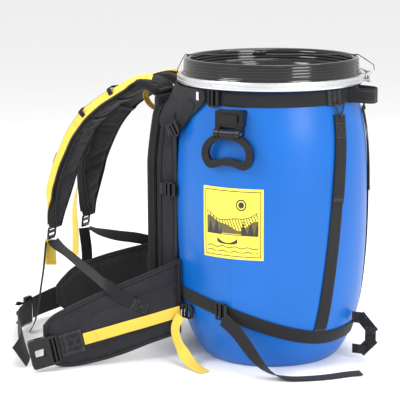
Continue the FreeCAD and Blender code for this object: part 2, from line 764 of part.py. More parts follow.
FAR_BELT = [(-486, 52.5, 70), (-515, 39, 60), (-545, 24, 48), (-567, 6, 38), (-577, -17, 33.5),
            (-578, -42, 32.5)]
far_belt = [beside_far_wing(x, y, z) for x, y, z in FAR_BELT]
nodes["hip_webbing_far"] = strip(far_belt, UP, belt_width, webbing_t)
plug_dir = far_belt[-1] - far_belt[-2]
plug_dir = V(plug_dir.x, plug_dir.y, 0).normalize()
nodes["hip_buckle_plug"] = placed(buckle_plug(), far_belt[-1] + plug_dir * 7.0, plug_dir,
                                  UP.cross(plug_dir))

# ---- yellow stabiliser straps, near one fitted to the near wing ---------------------------
stab_points = [wing_point(u, belt_z(u), wing_face) for u in (197, 150, 110, 70, 30, -4)]
stab_lock_point = H(-119, -160, 107)
nodes["stabiliser_near"] = strip(stab_points, UP, narrow_width, webbing_t)
near_stab_lock = placed(ladder_lock(narrow_width), stab_lock_point,
                        V(0.83, -0.15, -0.06), V(-0.62, -0.78, 0))
FAR_STAB = [(-440, 72.5, 66), (-400, 90, 72), (-340, 119, 84), (-280, 146, 96), (-215, 164, 104),
            (-166, 163, 106), (-138, 161, 107)]
far_stab = [beside_far_wing(x, y, z) for x, y, z in FAR_STAB]
nodes["stabiliser_far"] = strip(far_stab, UP, narrow_width, webbing_t)

# ---- webbing between shoulder straps and wings -------------------------------------------
NEAR_LOWER = [(-497, -75, 205), (-484, -88, 203), (-440, -122, 197), (-380, -165, 187),
              (-330, -202, 180), (-290, -233, 175), (-266, -252, 172), (-249, -257, 168)]
lower_points = [H(x, y, z) + wing_out * wing_slack for x, y, z in NEAR_LOWER]
lower_points += [wing_point(128, 146, wing_face), wing_point(95, 128, wing_face),
                 wing_point(66, 112, wing_face)]
lower_sides = [V(0.2, 0.95, 0.1), V(0.2, 0.6, 0.8)] + [UP] * 9
nodes["strap_webbing_near"] = strip(lower_points, lower_sides, narrow_width, webbing_t)
FAR_LOWER = [(-494.5, 75, 205), (-484, 77, 202), (-461, 80, 196), (-425, 88, 190), (-390, 98, 187),
             (-365, 106, 183), (-345, 116, 177)]
far_lower = [beside_far_wing(x, y, z) for x, y, z in FAR_LOWER]
far_sides = [Y, Y, V(0.2, 0.9, 0.4), V(0.2, 0.6, 0.8), V(0.2, 0.4, 0.9), UP, UP]
nodes["strap_webbing_far"] = strip(far_lower, far_sides, narrow_width, webbing_t)

# ---- bands and straps round the barrel ---------------------------------------------------
band_out = 1.0 + webbing_t / 2
upper_z = barrel_height - 6.0 - band_width / 2


def wall_slope(z):
    return V(radius_at(z + 4) - radius_at(z - 4), 0, 8).normalize()


def on_wall(route, out=band_out):
    """Points and width directions for webbing that lies across the wall, from (azimuth, z) pairs."""
    points, sides = [], []
    for azimuth, z in route:
        points.append(on_barrel(azimuth, z, out))
        slope = wall_slope(z)
        sides.append(polar(slope.x, azimuth) + UP * slope.z)
    return points, sides


def lower_z(azimuth):
    f = min(1.0, max(0.0, (abs(azimuth) - 20.0) / 105.0))
    return (64.0 + 76.0 * f * f * (3 - 2 * f)) * fit_z


harness_azimuth = 146.0      # where the bands meet the frame sheet
upper_route = [(-harness_azimuth + i * 2 * harness_azimuth / 60, upper_z) for i in range(61)]
lower_route = [(-harness_azimuth + i * 2 * harness_azimuth / 60,
                lower_z(-harness_azimuth + i * 2 * harness_azimuth / 60)) for i in range(61)]
nodes["upper_band"] = strip(*on_wall(upper_route), band_width, webbing_t)
nodes["lower_band"] = strip(*on_wall(lower_route), band_width, webbing_t)


def upright_route(z0, z1, count):
    """Azimuth leans from -20 at the top to -33 at the bottom."""
    route = []
    for i in range(count):
        z = z0 + (z1 - z0) * i / (count - 1)
        route.append((-33.0 + 13.0 * (z / fit_z - 64.0) / (525.0 - 64.0), z))
    return route


def upright_strap():
    route = upright_route(upper_z - 35.0, lower_z(33.0) + band_width / 2 + 0.3, 26)
    points = [on_barrel(a, z, band_out) for a, z in route]
    sides = [polar(1, a + 90) for a, z in route]
    return strip(points, sides, band_width, webbing_t)


near_upright = upright_strap()
nodes["upright_strap_near"] = near_upright
nodes["upright_strap_far"] = mirror_y(near_upright)

tail_route = upright_route(upper_z - 35.0, 350.0 * fit_z, 12)
near_fold = strip([on_barrel(a, z, band_out + webbing_t + 0.5) for a, z in tail_route],
                  [polar(1, a + 90) for a, z in tail_route], band_width, webbing_t)
nodes["upright_tails"] = group([near_fold, mirror_y(near_fold)])


def strap_ring():
    """A triangular ring of round bar that hangs from the upper band."""
    top, low, out = upper_z - 15.0, upper_z - 39.0, 7.6
    p = [on_barrel(-24.5, top, out), on_barrel(-15.5, top, out), on_barrel(-19.8, low, out)]
    bars = [rod(p[i], p[(i + 1) % 3], 1.8) for i in range(3)]
    joints = [Part.makeSphere(1.8, q) for q in p]
    return bars[0].fuse(bars[1:] + joints)


near_ring = strap_ring()
nodes["strap_rings"] = group([near_ring, mirror_y(near_ring)])

patch_route = [(a, upper_z) for a in (-29, -26, -23, -20, -17)]
near_patch = strip(*on_wall(patch_route, band_out + webbing_t + 0.3), band_width + 2, webbing_t)
nodes["stitched_patches"] = group([near_patch, mirror_y(near_patch)])

# grab loops at the back of the barrel
loop_reach = belly_radius + 28.8
upper_loop = [on_barrel(-9, upper_z, band_out + 2.6), V(loop_reach - 28, -25, upper_z),
              V(loop_reach - 9, -21, upper_z - 1), V(loop_reach, -9, upper_z - 2),
              V(loop_reach, 9, upper_z - 2), V(loop_reach - 9, 21, upper_z - 1),
              V(loop_reach - 28, 25, upper_z), on_barrel(9, upper_z, band_out + 2.6)]
nodes["upper_grab_loop"] = strip(upper_loop, UP, band_width, webbing_t)


def lower_grab_loop():
    """Webbing folded flat at its corners, standing out from the lower band."""
    outer = [(190, 104), (206, 104), (241, 74), (241, 40), (222, 20), (196, 12), (186, 24)]
    inner = [(188, 80), (204, 80), (217, 66), (217, 48), (206, 38), (190, 36)]
    reach = belly_radius - 202.2
    solids = []
    for outline in (outer, inner):
        wire = Part.makePolygon([V(x + reach, -1.25, z * fit_z) for x, z in outline + outline[:1]])
        solids.append(Part.Face(wire).extrude(V(0, 2.5, 0)))
    return solids[0].cut(solids[1])


nodes["lower_grab_loop"] = lower_grab_loop()

haul = [V(-panel_front - 2 - x, 0, panel_top + z)
        for x, z in ((0, -26), (26, -29), (48, -20), (61, -4), (60, 13), (44, 20), (22, 16), (0, 6))]
nodes["haul_loop"] = strip(smooth(haul, 18), Y, narrow_width, webbing_t)

# compression straps from the panel's sides to the bands
def side_webbing():
    top = strip([H(-176, -134.6, 478), H(-150, -147, 492), H(-128, -157, 510), H(-112, -160, 534),
                 H(-104, -162, 549)], V(0.75, -0.3, -0.55), narrow_width, webbing_t)
    mid = strip([H(-196, -134.4, 358), H(-170, -136, 358), H(-150, -139, 358)], UP, narrow_width, webbing_t)
    return [top, mid]


near_side = side_webbing()
nodes["side_webbing"] = group(near_side + [mirror_y(s) for s in near_side])
side_lock_top = placed(ladder_lock(narrow_width), H(-145, -160, 488), V(0.72, -0.34, 0.6), V(-0.42, -0.9, 0))
side_lock_mid = placed(ladder_lock(narrow_width), H(-167, -141.5, 358), V(1, -0.15, 0), V(-0.15, -1, 0))

near_locks = [near_end_lock, near_stab_lock, side_lock_top, side_lock_mid]
nodes["ladder_locks"] = group(near_locks + [mirror_y(s) for s in near_locks])


def band_lock(azimuth, z):
    along = polar(1, azimuth + 90)
    return placed(ladder_lock(band_width), on_barrel(azimuth, z, 7.4), along, polar(1, azimuth))


nodes["band_locks"] = group([band_lock(-104.0, upper_z), band_lock(-96.6, lower_z(-96.6))])

# ---- strap over the lid ------------------------------------------------------------------
lid_strap_width = 12.0
lid_strap_t = 1.4
strap_z = lid_top + lid_strap_t / 2 + 0.3
left_az, right_az = 198.0, 30.0
rim_mid = lid_rim_radius - rim_width / 2
left_rim, right_rim = polar(rim_mid, left_az, strap_z), polar(rim_mid, right_az, strap_z)
chord = (right_rim - left_rim).normalize()
lid_side = UP.cross(chord).normalize()
buckle_at = left_rim + chord * 148.0


def lid_strap():
    before = [polar(ring_radius + 2.0, left_az, ring_mid + 2),
              polar(ring_radius + 1.2, left_az, ring_top + 5),
              polar(lid_rim_radius + 3.5, left_az, lid_top - 5),
              polar(lid_rim_radius - 1, left_az, strap_z)]
    after = [polar(lid_rim_radius, right_az, strap_z),
             polar(lid_rim_radius + 16, right_az, lid_top - 9),
             polar(ring_radius + 17.5, right_az - 1, ring_top + 14),
             polar(ring_radius + 19.0, right_az - 2, ring_top + 4)]
    return strip(before + [left_rim, right_rim] + after, lid_side, lid_strap_width, lid_strap_t)


nodes["lid_strap"] = lid_strap()
strap_buckle = ladder_lock(lid_strap_width)
nodes["lid_strap_buckle"] = placed(strap_buckle, buckle_at + UP * 3.4, chord, UP)

# ---- free ends of webbing ----------------------------------------------------------------
# Each route is chosen by hand and doesn't follow the sizes above.
FREE_TAILS = {
    "lower_band_tail": (
        [(-14, -205, 113), (12, -207, 97), (36, -211, 73), (60, -212, 44), (88, -208, 16),
         (122, -196, 3.5), (160, -172, 2.2), (196, -142, 2.4), (222, -108, 2.6), (244, -92, 3.2)],
        [(0, 0, 1), (0.1, 0, 1), (0.3, -0.1, 1), (0.5, -0.4, 0.9), (0.4, -0.8, 0.5),
         (0.4, -0.9, 0.1), (0.5, -0.85, 0.02), (0.7, -0.7, 0), (0.75, -0.6, 0), (0.6, -0.8, 0)],
        band_width),
    "stabiliser_tail_near": (
        [(-127, -173, 99), (-136, -180, 84), (-134, -186, 62), (-120, -192, 38),
         (-100, -200, 18), (-74, -212, 4.5), (-46, -224, 2.4)],
        [(0.9, -0.3, 0), (0.9, -0.3, 0), (0.9, -0.3, 0.1), (0.9, -0.2, 0.2),
         (0.7, 0.5, 0.2), (0.5, 0.8, 0.1), (0.45, 0.9, 0)],
        narrow_width),
    "shoulder_tail_near": (
        [(-507, -90, 203), (-509, -93, 172), (-510, -98, 140), (-516, -99, 108),
         (-519, -104, 76), (-523, -108, 46), (-526, -116, 17), (-532, -126, 4.5)],
        (0.41, -0.91, 0),
        narrow_width),
    "shoulder_tail_far": (
        [(-508, 76, 203), (-505, 76, 180), (-501, 75, 156), (-499, 73, 131), (-500, 72, 106),
         (-503, 71, 80), (-505, 71, 52)],
        (0.91, 0.41, 0),
        narrow_width),
    "lifter_tail_far": (
        [(-503, 50, 322), (-508, 49, 300), (-513, 47, 274), (-514, 45, 247), (-512, 44, 220),
         (-511, 44, 194), (-513, 45, 168), (-514, 46, 146)],
        (0.41, -0.91, 0),
        narrow_width),
    "hip_belt_tail": (
        [(-571, -60, 32.5), (-567, -96, 31), (-555, -138, 29), (-528, -180, 27.5), (-488, -226, 27.5),
         (-450, -272, 28), (-422, -316, 26), (-409, -356, 23)],
        [(0, 0, 1), (0, 0, 1), (0, 0, 1), (0, 0, 1), (-0.1, 0, 1),
         (-0.25, 0, 0.97), (-0.45, 0, 0.89), (-0.58, 0.05, 0.81)],
        belt_width),
}
for name, (route, across, width) in FREE_TAILS.items():
    points = [V(*p) for p in route]
    sides = [V(*a) for a in across] if isinstance(across, list) else V(*across)
    nodes[name] = free_webbing(name, points, sides, width)

near_tab = strip([lock_point + V(-4, 0, -17.5), lock_point + V(-5, -1, -36), lock_point + V(-4, -1, -54),
                  lock_point + V(-4, 0, -76)], V(0.91, 0.41, 0), narrow_width, webbing_t)
nodes["lifter_tail_near"] = near_tab

# ---- write the pieces --------------------------------------------------------------------
for name, shape in nodes.items():
    if not shape.isValid() or shape.Volume <= 0:
        print("CHECK", name, "valid", shape.isValid(), "volume", round(shape.Volume, 1))
    shape.exportStep("parts/" + name + ".step")
print(len(nodes), "nodes written")
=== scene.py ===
import math

import bmesh
import bpy
from mathutils import Matrix, Vector
from mathutils.bvhtree import BVHTree
from mathutils.kdtree import KDTree


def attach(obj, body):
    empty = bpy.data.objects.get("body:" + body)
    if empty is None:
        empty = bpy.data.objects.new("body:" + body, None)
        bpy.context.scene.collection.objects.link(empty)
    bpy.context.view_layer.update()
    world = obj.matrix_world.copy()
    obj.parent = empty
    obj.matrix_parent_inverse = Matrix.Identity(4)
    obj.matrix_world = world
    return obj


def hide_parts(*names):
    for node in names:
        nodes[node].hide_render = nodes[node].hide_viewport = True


# A sixty-litre food barrel with a lever-lock lid, carried on a padded pack harness.
# Metres. The barrel's axis is Z and its foot is on the floor; the wearer's side is -X, and the
# wearer's left ("near") is -Y.

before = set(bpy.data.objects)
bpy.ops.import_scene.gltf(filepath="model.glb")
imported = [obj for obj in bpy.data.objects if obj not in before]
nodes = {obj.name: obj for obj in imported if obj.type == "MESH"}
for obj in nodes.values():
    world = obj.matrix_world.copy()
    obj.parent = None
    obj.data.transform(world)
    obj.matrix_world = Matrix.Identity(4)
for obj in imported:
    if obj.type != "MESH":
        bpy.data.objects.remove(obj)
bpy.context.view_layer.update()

UP = Vector((0, 0, 1))
ACROSS_BACK = Vector((0, 1, 0))
WEBBING = 0.002              # thickness of most webbing
BAND, NARROW, BELT = 0.030, 0.025, 0.050
THREAD_LIFT = 0.0002         # how far stitches stand off their webbing
SIDES = ("near", -1), ("far", 1)


def mm(x, y, z):
    return Vector((x, y, z)) / 1000


# ---- camera ------------------------------------------------------------------------------
CAMERA_PLACE = (1.3016, -2.9233, 0.9560)
CAMERA_AIM = Vector((-0.4406, 0.8766, -0.1935))
CAMERA_ROLL = -0.30          # degrees


def studio_camera():
    data = bpy.data.cameras.new("studio_camera")
    data.sensor_width = 36.0
    data.lens = 138.45
    data.clip_end = 50.0
    camera = bpy.data.objects.new("studio_camera", data)
    bpy.context.scene.collection.objects.link(camera)
    forward = CAMERA_AIM.normalized()
    right = forward.cross(UP).normalized()
    up = right.cross(forward)
    tilt = math.radians(CAMERA_ROLL)
    c, s = math.cos(tilt), math.sin(tilt)
    right, up = right * c + up * s, up * c - right * s
    turn = Matrix((right, up, -forward)).transposed().to_4x4()
    camera.matrix_world = Matrix.Translation(CAMERA_PLACE) @ turn
    bpy.context.scene.camera = camera


studio_camera()


# ---- shader maths ------------------------------------------------------------------------
class Value:
    """A node's output that takes part in sums, each of which adds its Math node."""

    def __init__(self, finish, socket):
        self.finish = finish
        self.socket = socket

    def maths(self, operation, *others):
        return self.finish.maths(operation, self, *others)

    def __add__(self, other):
        return self.maths("ADD", other)

    def __sub__(self, other):
        return self.maths("SUBTRACT", other)

    def __rsub__(self, other):
        return self.finish.maths("SUBTRACT", other, self)

    def __mul__(self, other):
        return self.maths("MULTIPLY", other)

    def __truediv__(self, other):
        return self.maths("DIVIDE", other)

    def __gt__(self, other):
        return self.maths("GREATER_THAN", other)

    def __lt__(self, other):
        return self.maths("LESS_THAN", other)

    def __abs__(self):
        return self.maths("ABSOLUTE")

    __radd__ = __add__
    __rmul__ = __mul__

    def sine(self):
        return self.maths("SINE")

    def part(self):
        return self.maths("FRACT")

    def floor(self):
        return self.maths("FLOOR")

    def held(self):
        """Kept between 0 and 1."""
        return self.finish.node("ShaderNodeClamp", values=[self])


class Finish:
    """One material, built up from its nodes. Numbers in fixed go straight on the shader."""

    def __init__(self, name, **fixed):
        self.material = bpy.data.materials.new(name)
        self.material.use_nodes = True
        self.tree = self.material.node_tree
        self.shader = self.tree.nodes["Principled BSDF"]
        for socket, value in fixed.items():
            self.shader.inputs[socket.replace("_", " ")].default_value = value

    def node(self, kind, settings=None, values=(), out=0):
        node = self.tree.nodes.new(kind)
        for key, value in (settings or {}).items():
            if key == "stops":
                ramp = node.color_ramp.elements
                while len(ramp) < len(value):
                    ramp.new(0.5)
                for stop, (place, colour) in zip(ramp, value):
                    stop.position = place
                    stop.color = colour
            else:
                setattr(node, key, value)
        pairs = values.items() if isinstance(values, dict) else enumerate(values)
        for key, value in pairs:
            if isinstance(value, Value):
                self.tree.links.new(value.socket, node.inputs[key])
            else:
                node.inputs[key].default_value = value
        return Value(self, node.outputs[out])

    def maths(self, operation, *values):
        return self.node("ShaderNodeMath", {"operation": operation}, values)

    def feed(self, socket, value):
        self.tree.links.new(value.socket, self.shader.inputs[socket])
        return self

    def place(self):
        """Where a point is on the object, in metres."""
        return self.node("ShaderNodeTexCoord", out=3)

    def lay(self):
        """Along, across and outwards on a piece, in metres."""
        return self.node("ShaderNodeAttribute", {"attribute_name": "lay"}, out=1)

    def split(self, vector):
        return [self.node("ShaderNodeSeparateXYZ", values=[vector], out=i) for i in range(3)]

    def grain(self, vector, scale, detail=3.0, rough=0.55):
        return self.node("ShaderNodeTexNoise", values={
            "Vector": vector, "Scale": scale, "Detail": detail, "Roughness": rough})

    def cells(self, vector, scale):
        return self.node("ShaderNodeTexVoronoi", values={"Vector": vector, "Scale": scale}, out=1)

    def mix(self, factor, low, high):
        return self.node("ShaderNodeMix", {"data_type": "RGBA"}, {0: factor, 6: low, 7: high}, out=2)

    def span(self, value, low, high, to_low, to_high):
        return self.node("ShaderNodeMapRange", values=[value, low, high, to_low, to_high])

    def relief(self, height, depth, under=None, strength=1.0):
        values = {"Strength": strength, "Distance": depth, "Height": height}
        if under is not None:
            values["Normal"] = under
        return self.node("ShaderNodeBump", values=values)


def shade(colour, factor):
    return tuple(c * factor for c in colour[:3]) + (1.0,)


def moulded_plastic(name, colour, gloss=0.4, grain=0.00006, worn=0.25, scale=900.0, **fixed):
    """Injection-moulded or blow-moulded plastic: fine grain, faint mottling, rubbed corners."""
    f = Finish(name, **fixed)
    place = f.place()
    mottle = f.grain(place, 9.0, 4.0)
    scuff = f.grain(place, 160.0, 5.0, 0.7)
    rub = f.span(f.node("ShaderNodeNewGeometry", out=7), 0.53, 0.62, 0.0, 1.0)
    rubbed = f.mix(rub * scuff * worn, shade(colour, 1.0), shade(colour, 1.7))
    tone = f.mix(f.span(mottle, 0.35, 0.65, 0.0, 1.0), shade(colour, 0.94), rubbed)
    f.feed("Base Color", tone)
    f.feed("Roughness", f.span(scuff, 0.3, 0.75, gloss - 0.05, gloss + 0.09))
    fine = f.relief(f.grain(place, scale, 2.0), grain)
    f.feed("Normal", f.relief(f.grain(place, 14.0, 2.0), grain * 6, fine, 0.5))
    return f.material


def barrel_plastic():
    """Blow-moulded blue polyethylene: soft gloss, slight waviness, a parting line, light scuffs."""
    blue = (0.002, 0.120, 0.48, 1.0)
    f = Finish("barrel_blue_plastic", Specular_IOR_Level=0.36)
    place = f.place()
    x, _, z = f.split(place)
    mottle = f.grain(place, 5.0, 3.0)
    drawn_out = f.node("ShaderNodeMapping", values={"Vector": place, "Scale": (60.0, 60.0, 7.0)})
    scratch = f.grain(drawn_out, 6.0, 6.0, 0.7)
    marks = f.span(scratch, 0.66, 0.74, 0.0, 1.0)
    tone = f.mix(f.span(mottle, 0.3, 0.7, 0.0, 1.0), shade(blue, 0.92), shade(blue, 1.06))
    foot = f.span(z, 0.0, 0.03, 0.35, 0.0)
    tone = f.mix((marks * 0.10 + foot).held(), tone, (0.03, 0.17, 0.45, 1.0))
    f.feed("Base Color", tone)
    f.feed("Roughness", (f.span(mottle, 0.3, 0.7, 0.30, 0.38) + marks * 0.12).held())
    seam = 1 - f.span(abs(x), 0.0, 0.0012, 0.0, 1.0)
    wavy = f.relief(f.grain(place, 7.0, 2.0), 0.0010, strength=0.5)
    peel = f.relief(f.grain(place, 420.0, 3.0), 0.00006, wavy)
    f.feed("Normal", f.relief(seam, 0.0005, peel))
    return f.material


def lid_plastic():
    """Glossy black lid, with turning marks, faint streaks round its wall and dust in the recess."""
    f = Finish("lid_black_plastic", Specular_IOR_Level=0.6)
    place = f.place()
    x, y, z = f.split(place)
    radius = f.maths("SQRT", x * x + y * y)
    turned = (radius * 2600.0).sine()
    dust = f.grain(place, 60.0, 5.0, 0.7)
    in_recess = f.span(z, 0.606, 0.612, 1.0, 0.0)
    dusty = (in_recess * f.span(dust, 0.45, 0.8, 0.0, 0.22)).held()
    tone = f.mix(dusty, (0.004, 0.004, 0.0045, 1), (0.04, 0.04, 0.044, 1))
    f.feed("Base Color", tone)
    f.feed("Roughness", f.span(dust, 0.3, 0.8, 0.09, 0.19))
    streaks = (z * 1050.0 + f.grain(place, 5.0, 2.0) * 2.0).sine()
    waves = f.relief(streaks, 0.00016, f.relief(f.grain(place, 11.0), 0.0007, strength=0.5))
    f.feed("Normal", f.relief(turned, 0.00002, waves))
    return f.material


def galvanised():
    """Zinc-coated sheet steel, with its spangle and a few dull patches."""
    f = Finish("galvanised_steel", Metallic=0.95)
    place = f.place()
    flakes = f.cells(place, 210.0)
    spangle = f.node("ShaderNodeRGBToBW", values=[flakes])
    dull = f.grain(place, 18.0, 5.0, 0.65)
    tone = f.span(spangle, 0.2, 0.8, 0.2, 0.8)
    f.feed("Base Color", f.mix(tone, (0.69, 0.70, 0.72, 1), (0.77, 0.78, 0.79, 1)))
    f.feed("Roughness", (f.span(spangle, 0.0, 1.0, 0.27, 0.33) + f.span(dull, 0.5, 0.8, 0.0, 0.12)).held())
    f.feed("Normal", f.relief(f.grain(place, 120.0, 2.0), 0.00003, strength=0.5))
    return f.material


def bright_steel():
    """Turned pins and rivets."""
    f = Finish("pin_steel", Metallic=1.0)
    place = f.place()
    marks = f.grain(place, 900.0, 3.0)
    f.feed("Base Color", f.mix(marks, (0.45, 0.45, 0.46, 1), (0.66, 0.66, 0.67, 1)))
    f.feed("Roughness", f.span(marks, 0.3, 0.7, 0.2, 0.35))
    f.feed("Normal", f.relief(marks, 0.00003))
    return f.material


def webbing_weave(name, light, dark, sheen=0.08):
    """Flat woven webbing: chevron ribs across its width, fuzz and slight fading."""
    f = Finish(name, Sheen_Weight=sheen, Sheen_Roughness=0.45, Specular_IOR_Level=0.22)
    along, across, _ = f.split(f.lay())
    pitch = 0.0021
    rib = abs((across / 0.0034).part() - 0.5) * 2.0
    chevron = ((along + rib * 0.0012) / pitch).part()
    yarn = 1 - abs(chevron - 0.5) * 2.0
    groove = f.span(rib, 0.0, 0.22, 0.0, 1.0)
    weave = yarn * groove
    fuzz = f.grain(f.place(), 700.0, 3.0, 0.7)
    fade = f.grain(f.place(), 22.0, 3.0)
    tone = f.mix((weave * 0.75 + fuzz * 0.25).held(), dark, light)
    f.feed("Base Color", f.mix(f.span(fade, 0.3, 0.7, 0.0, 0.16), tone, dark))
    f.feed("Roughness", f.span(weave, 0.0, 1.0, 0.78, 0.58))
    f.feed("Normal", f.relief(weave * 0.8 + fuzz * 0.2, 0.00035))
    return f.material


def pack_cloth(name, light, dark, mesh_side=False):
    """Coated pack cloth in a basket weave; a spacer mesh where it lies against the wearer."""
    f = Finish(name, Sheen_Weight=0.05, Sheen_Roughness=0.5, Specular_IOR_Level=0.2)
    along, across, _ = f.split(f.lay())
    if mesh_side:
        row = (along / 0.0042).floor()
        offset = (row * 0.5).part()
        u = (along / 0.0042).part() - 0.5
        v = (across / 0.0036 + offset).part() - 0.5
        weave = f.span(u * u + v * v, 0.03, 0.13, 0.0, 1.0)
        depth = 0.0009
    else:
        tick = ((along / 0.0011).floor() + (across / 0.0011).floor()) * 0.5
        over = f.span(tick.part(), 0.2, 0.3, 0.0, 1.0)
        warp = abs((along / 0.0011).part() - 0.5) * 2.0
        weft = abs((across / 0.0011).part() - 0.5) * 2.0
        weave = 1 - (over * warp + (1 - over) * weft)
        depth = 0.00028
    fuzz = f.grain(f.place(), 500.0, 3.0, 0.7)
    wear = f.grain(f.place(), 13.0, 4.0, 0.6)
    tone = f.mix((weave * 0.6 + fuzz * 0.4).held(), dark, light)
    f.feed("Base Color", f.mix(f.span(wear, 0.45, 0.75, 0.0, 0.35), tone, shade(light, 1.25)))
    f.feed("Roughness", f.span(wear, 0.3, 0.7, 0.82, 0.68))
    slack = f.relief(f.grain(f.place(), 38.0, 3.0), 0.0022, strength=0.35)
    f.feed("Normal", f.relief(weave, depth, slack))
    return f.material


def sewing_thread(name, colour):
    f = Finish(name, Sheen_Weight=0.2)
    twist = f.grain(f.place(), 1800.0, 2.0)
    f.feed("Base Color", f.mix(twist, shade(colour, 0.7), shade(colour, 1.15)))
    f.feed("Roughness", f.span(twist, 0.3, 0.7, 0.5, 0.7))
    f.feed("Normal", f.relief(twist, 0.0001))
    return f.material


def printed_label():
    """A yellow vinyl label with a line drawing of a lake: hills, pines, a sun, a canoe, ripples."""
    f = Finish("label_print", Coat_Weight=0.25, Coat_Roughness=0.2)
    u, v, _ = f.split(f.lay())

    def between(value, low, high):
        return (value > low) * (value < high)

    def near(value, target, reach):
        return abs(value - target) < reach

    hill = 0.50 + (u * 7.0 + 0.6).sine() * 0.075 + (u * 17.0).sine() * 0.022
    ridge = 0.62 + (u * 5.0 + 2.4).sine() * 0.07 + (u * 13.0 + 1.0).sine() * 0.02
    hatch = near((u * 22.0 + v * 9.0).part(), 0.5, 0.16)
    hills = between(v, 0.36, 0.90) * (v < hill)
    far_hills = (v < ridge) * (v > hill) * hatch
    outline = near(v, ridge, 0.006)
    pine = 1 - abs((u * 9.0 + 0.25).part() - 0.5) * 2.0
    teeth = 1 - ((v - 0.30) * 22.0).part() * 0.45
    trees = (v < 0.36 + pine * teeth * 0.24) * (v > 0.345) * (abs(u - 0.5) > 0.16)
    sun_x, sun_y = u - 0.66, v - 0.77
    ring = f.maths("SQRT", sun_x * sun_x + sun_y * sun_y)
    sun = near(ring, 0.072, 0.010) + (ring < 0.045)
    boat_x = (u - 0.43) / 0.17
    boat = between(v, 0.205, 0.295) * (v < 0.225 + boat_x * boat_x * 0.07) * (abs(boat_x) < 1.0)
    boat = boat * (v > 0.205 + boat_x * boat_x * boat_x * boat_x * 0.03)
    ripple = near((v * 15.0 + (u * 31.0).sine() * 0.16).part(), 0.5, 0.10) * between(v, 0.09, 0.20)
    shore = near(v, 0.345, 0.006)
    inside = between(u, 0.075, 0.925) * between(v, 0.065, 0.935)
    edge_u, edge_v = abs(u - 0.5), abs(v - 0.5)
    rule = f.maths("MAXIMUM", edge_u, edge_v)
    frame_line = between(rule, 0.452, 0.464)
    drawing = hills * 0.9 + far_hills + outline + trees + sun + boat + ripple + shore
    ink = (drawing * inside + frame_line).held()
    speck = f.grain(f.place(), 240.0, 4.0, 0.7)
    ink = ink * f.span(speck, 0.25, 0.4, 0.75, 1.0)
    fade = f.grain(f.place(), 12.0)
    ground = f.mix(f.span(fade, 0.3, 0.7, 0.0, 1.0), (0.88, 0.70, 0.05, 1), (0.94, 0.76, 0.07, 1))
    f.feed("Base Color", f.mix(ink, ground, (0.012, 0.012, 0.012, 1)))
    f.feed("Roughness", f.span(speck, 0.3, 0.7, 0.38, 0.5) - ink * 0.08)
    f.feed("Normal", f.relief(fade, 0.0004, strength=0.4))
    return f.material


BARREL = barrel_plastic()
LID = lid_plastic()
ZINC = galvanised()
PIN = bright_steel()
RUBBER = moulded_plastic("gasket_rubber", (0.02, 0.02, 0.02, 1), 0.7, 0.0001)
HANDLE = moulded_plastic("handle_plastic", (0.008, 0.008, 0.009, 1), 0.30, 0.00008, 0.5,
                         Specular_IOR_Level=0.3)
FRAME_BOARD = moulded_plastic("frame_board_plastic", (0.02, 0.02, 0.022, 1), 0.5)
ACETAL = moulded_plastic("buckle_acetal", (0.009, 0.009, 0.010, 1), 0.27, 0.00005, 0.6,
                         Specular_IOR_Level=0.32)
WIRE = moulded_plastic("black_coated_wire", (0.012, 0.012, 0.013, 1), 0.2, 0.00003, 0.6)
BLACK_TAPE = webbing_weave("black_webbing_weave", (0.024, 0.024, 0.027, 1), (0.006, 0.006, 0.007, 1))
YELLOW_TAPE = webbing_weave("yellow_webbing_weave", (0.97, 0.74, 0.13, 1), (0.70, 0.45, 0.045, 1), 0.12)
BINDING = webbing_weave("edge_binding_tape", (0.022, 0.022, 0.024, 1), (0.006, 0.006, 0.007, 1))
ELASTIC = webbing_weave("keeper_elastic", (0.020, 0.020, 0.022, 1), (0.006, 0.006, 0.007, 1))
CLOTH = pack_cloth("pad_pack_cloth", (0.033, 0.032, 0.038, 1), (0.010, 0.010, 0.012, 1))
SPACER = pack_cloth("pad_spacer_mesh", (0.028, 0.028, 0.031, 1), (0.005, 0.005, 0.006, 1), True)
BLACK_THREAD = sewing_thread("black_thread", (0.075, 0.075, 0.082, 1))
YELLOW_THREAD = sewing_thread("yellow_thread", (0.80, 0.55, 0.04, 1))
# white of the small woven tag on the upper band: partly its own colour, partly a painted highlight for a
# glint on the band's hardware
WHITE_GLINT_TAPE = webbing_weave("white_tag_with_painted_glint", (0.85, 0.85, 0.84, 1), (0.55, 0.55, 0.54, 1))
LABEL = printed_label()
BLACK = BLACK_TAPE, "black_webbing"
YELLOW = YELLOW_TAPE, "yellow_webbing"


# ---- shared making -----------------------------------------------------------------------
def add_piece(name, mesh, material, body="barrel", smooth_angle=40.0):
    piece = bpy.data.objects.new(name, mesh)
    bpy.context.scene.collection.objects.link(piece)
    mesh.materials.append(material)
    mesh.polygons.foreach_set("use_smooth", [True] * len(mesh.polygons))
    mesh.set_sharp_from_angle(angle=math.radians(smooth_angle))
    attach(piece, body)
    return piece


def build_mesh(name, points, faces, lay=None):
    mesh = bpy.data.meshes.new(name)
    mesh.from_pydata([tuple(p) for p in points], [], faces)
    if lay is not None:
        layer = mesh.attributes.new("lay", "FLOAT_VECTOR", "POINT")
        layer.data.foreach_set("vector", [c for p in lay for c in p])
    mesh.update()
    return mesh


def face_outward(mesh, thickness=0.0):
    """Turns every face outwards, and gives an open sheet its thickness."""
    bm = bmesh.new()
    bm.from_mesh(mesh)
    bmesh.ops.recalc_face_normals(bm, faces=bm.faces)
    if thickness:
        bmesh.ops.solidify(bm, geom=bm.faces[:], thickness=thickness)
        bmesh.ops.recalc_face_normals(bm, faces=bm.faces)
    bm.to_mesh(mesh)
    bm.free()
    return mesh


def grid_faces(rows, n):
    """Faces of a sheet whose rows have n points each."""
    return [(a, a + 1, a + n + 1, a + n) for i in range(rows - 1) for a in range(i * n, i * n + n - 1)]


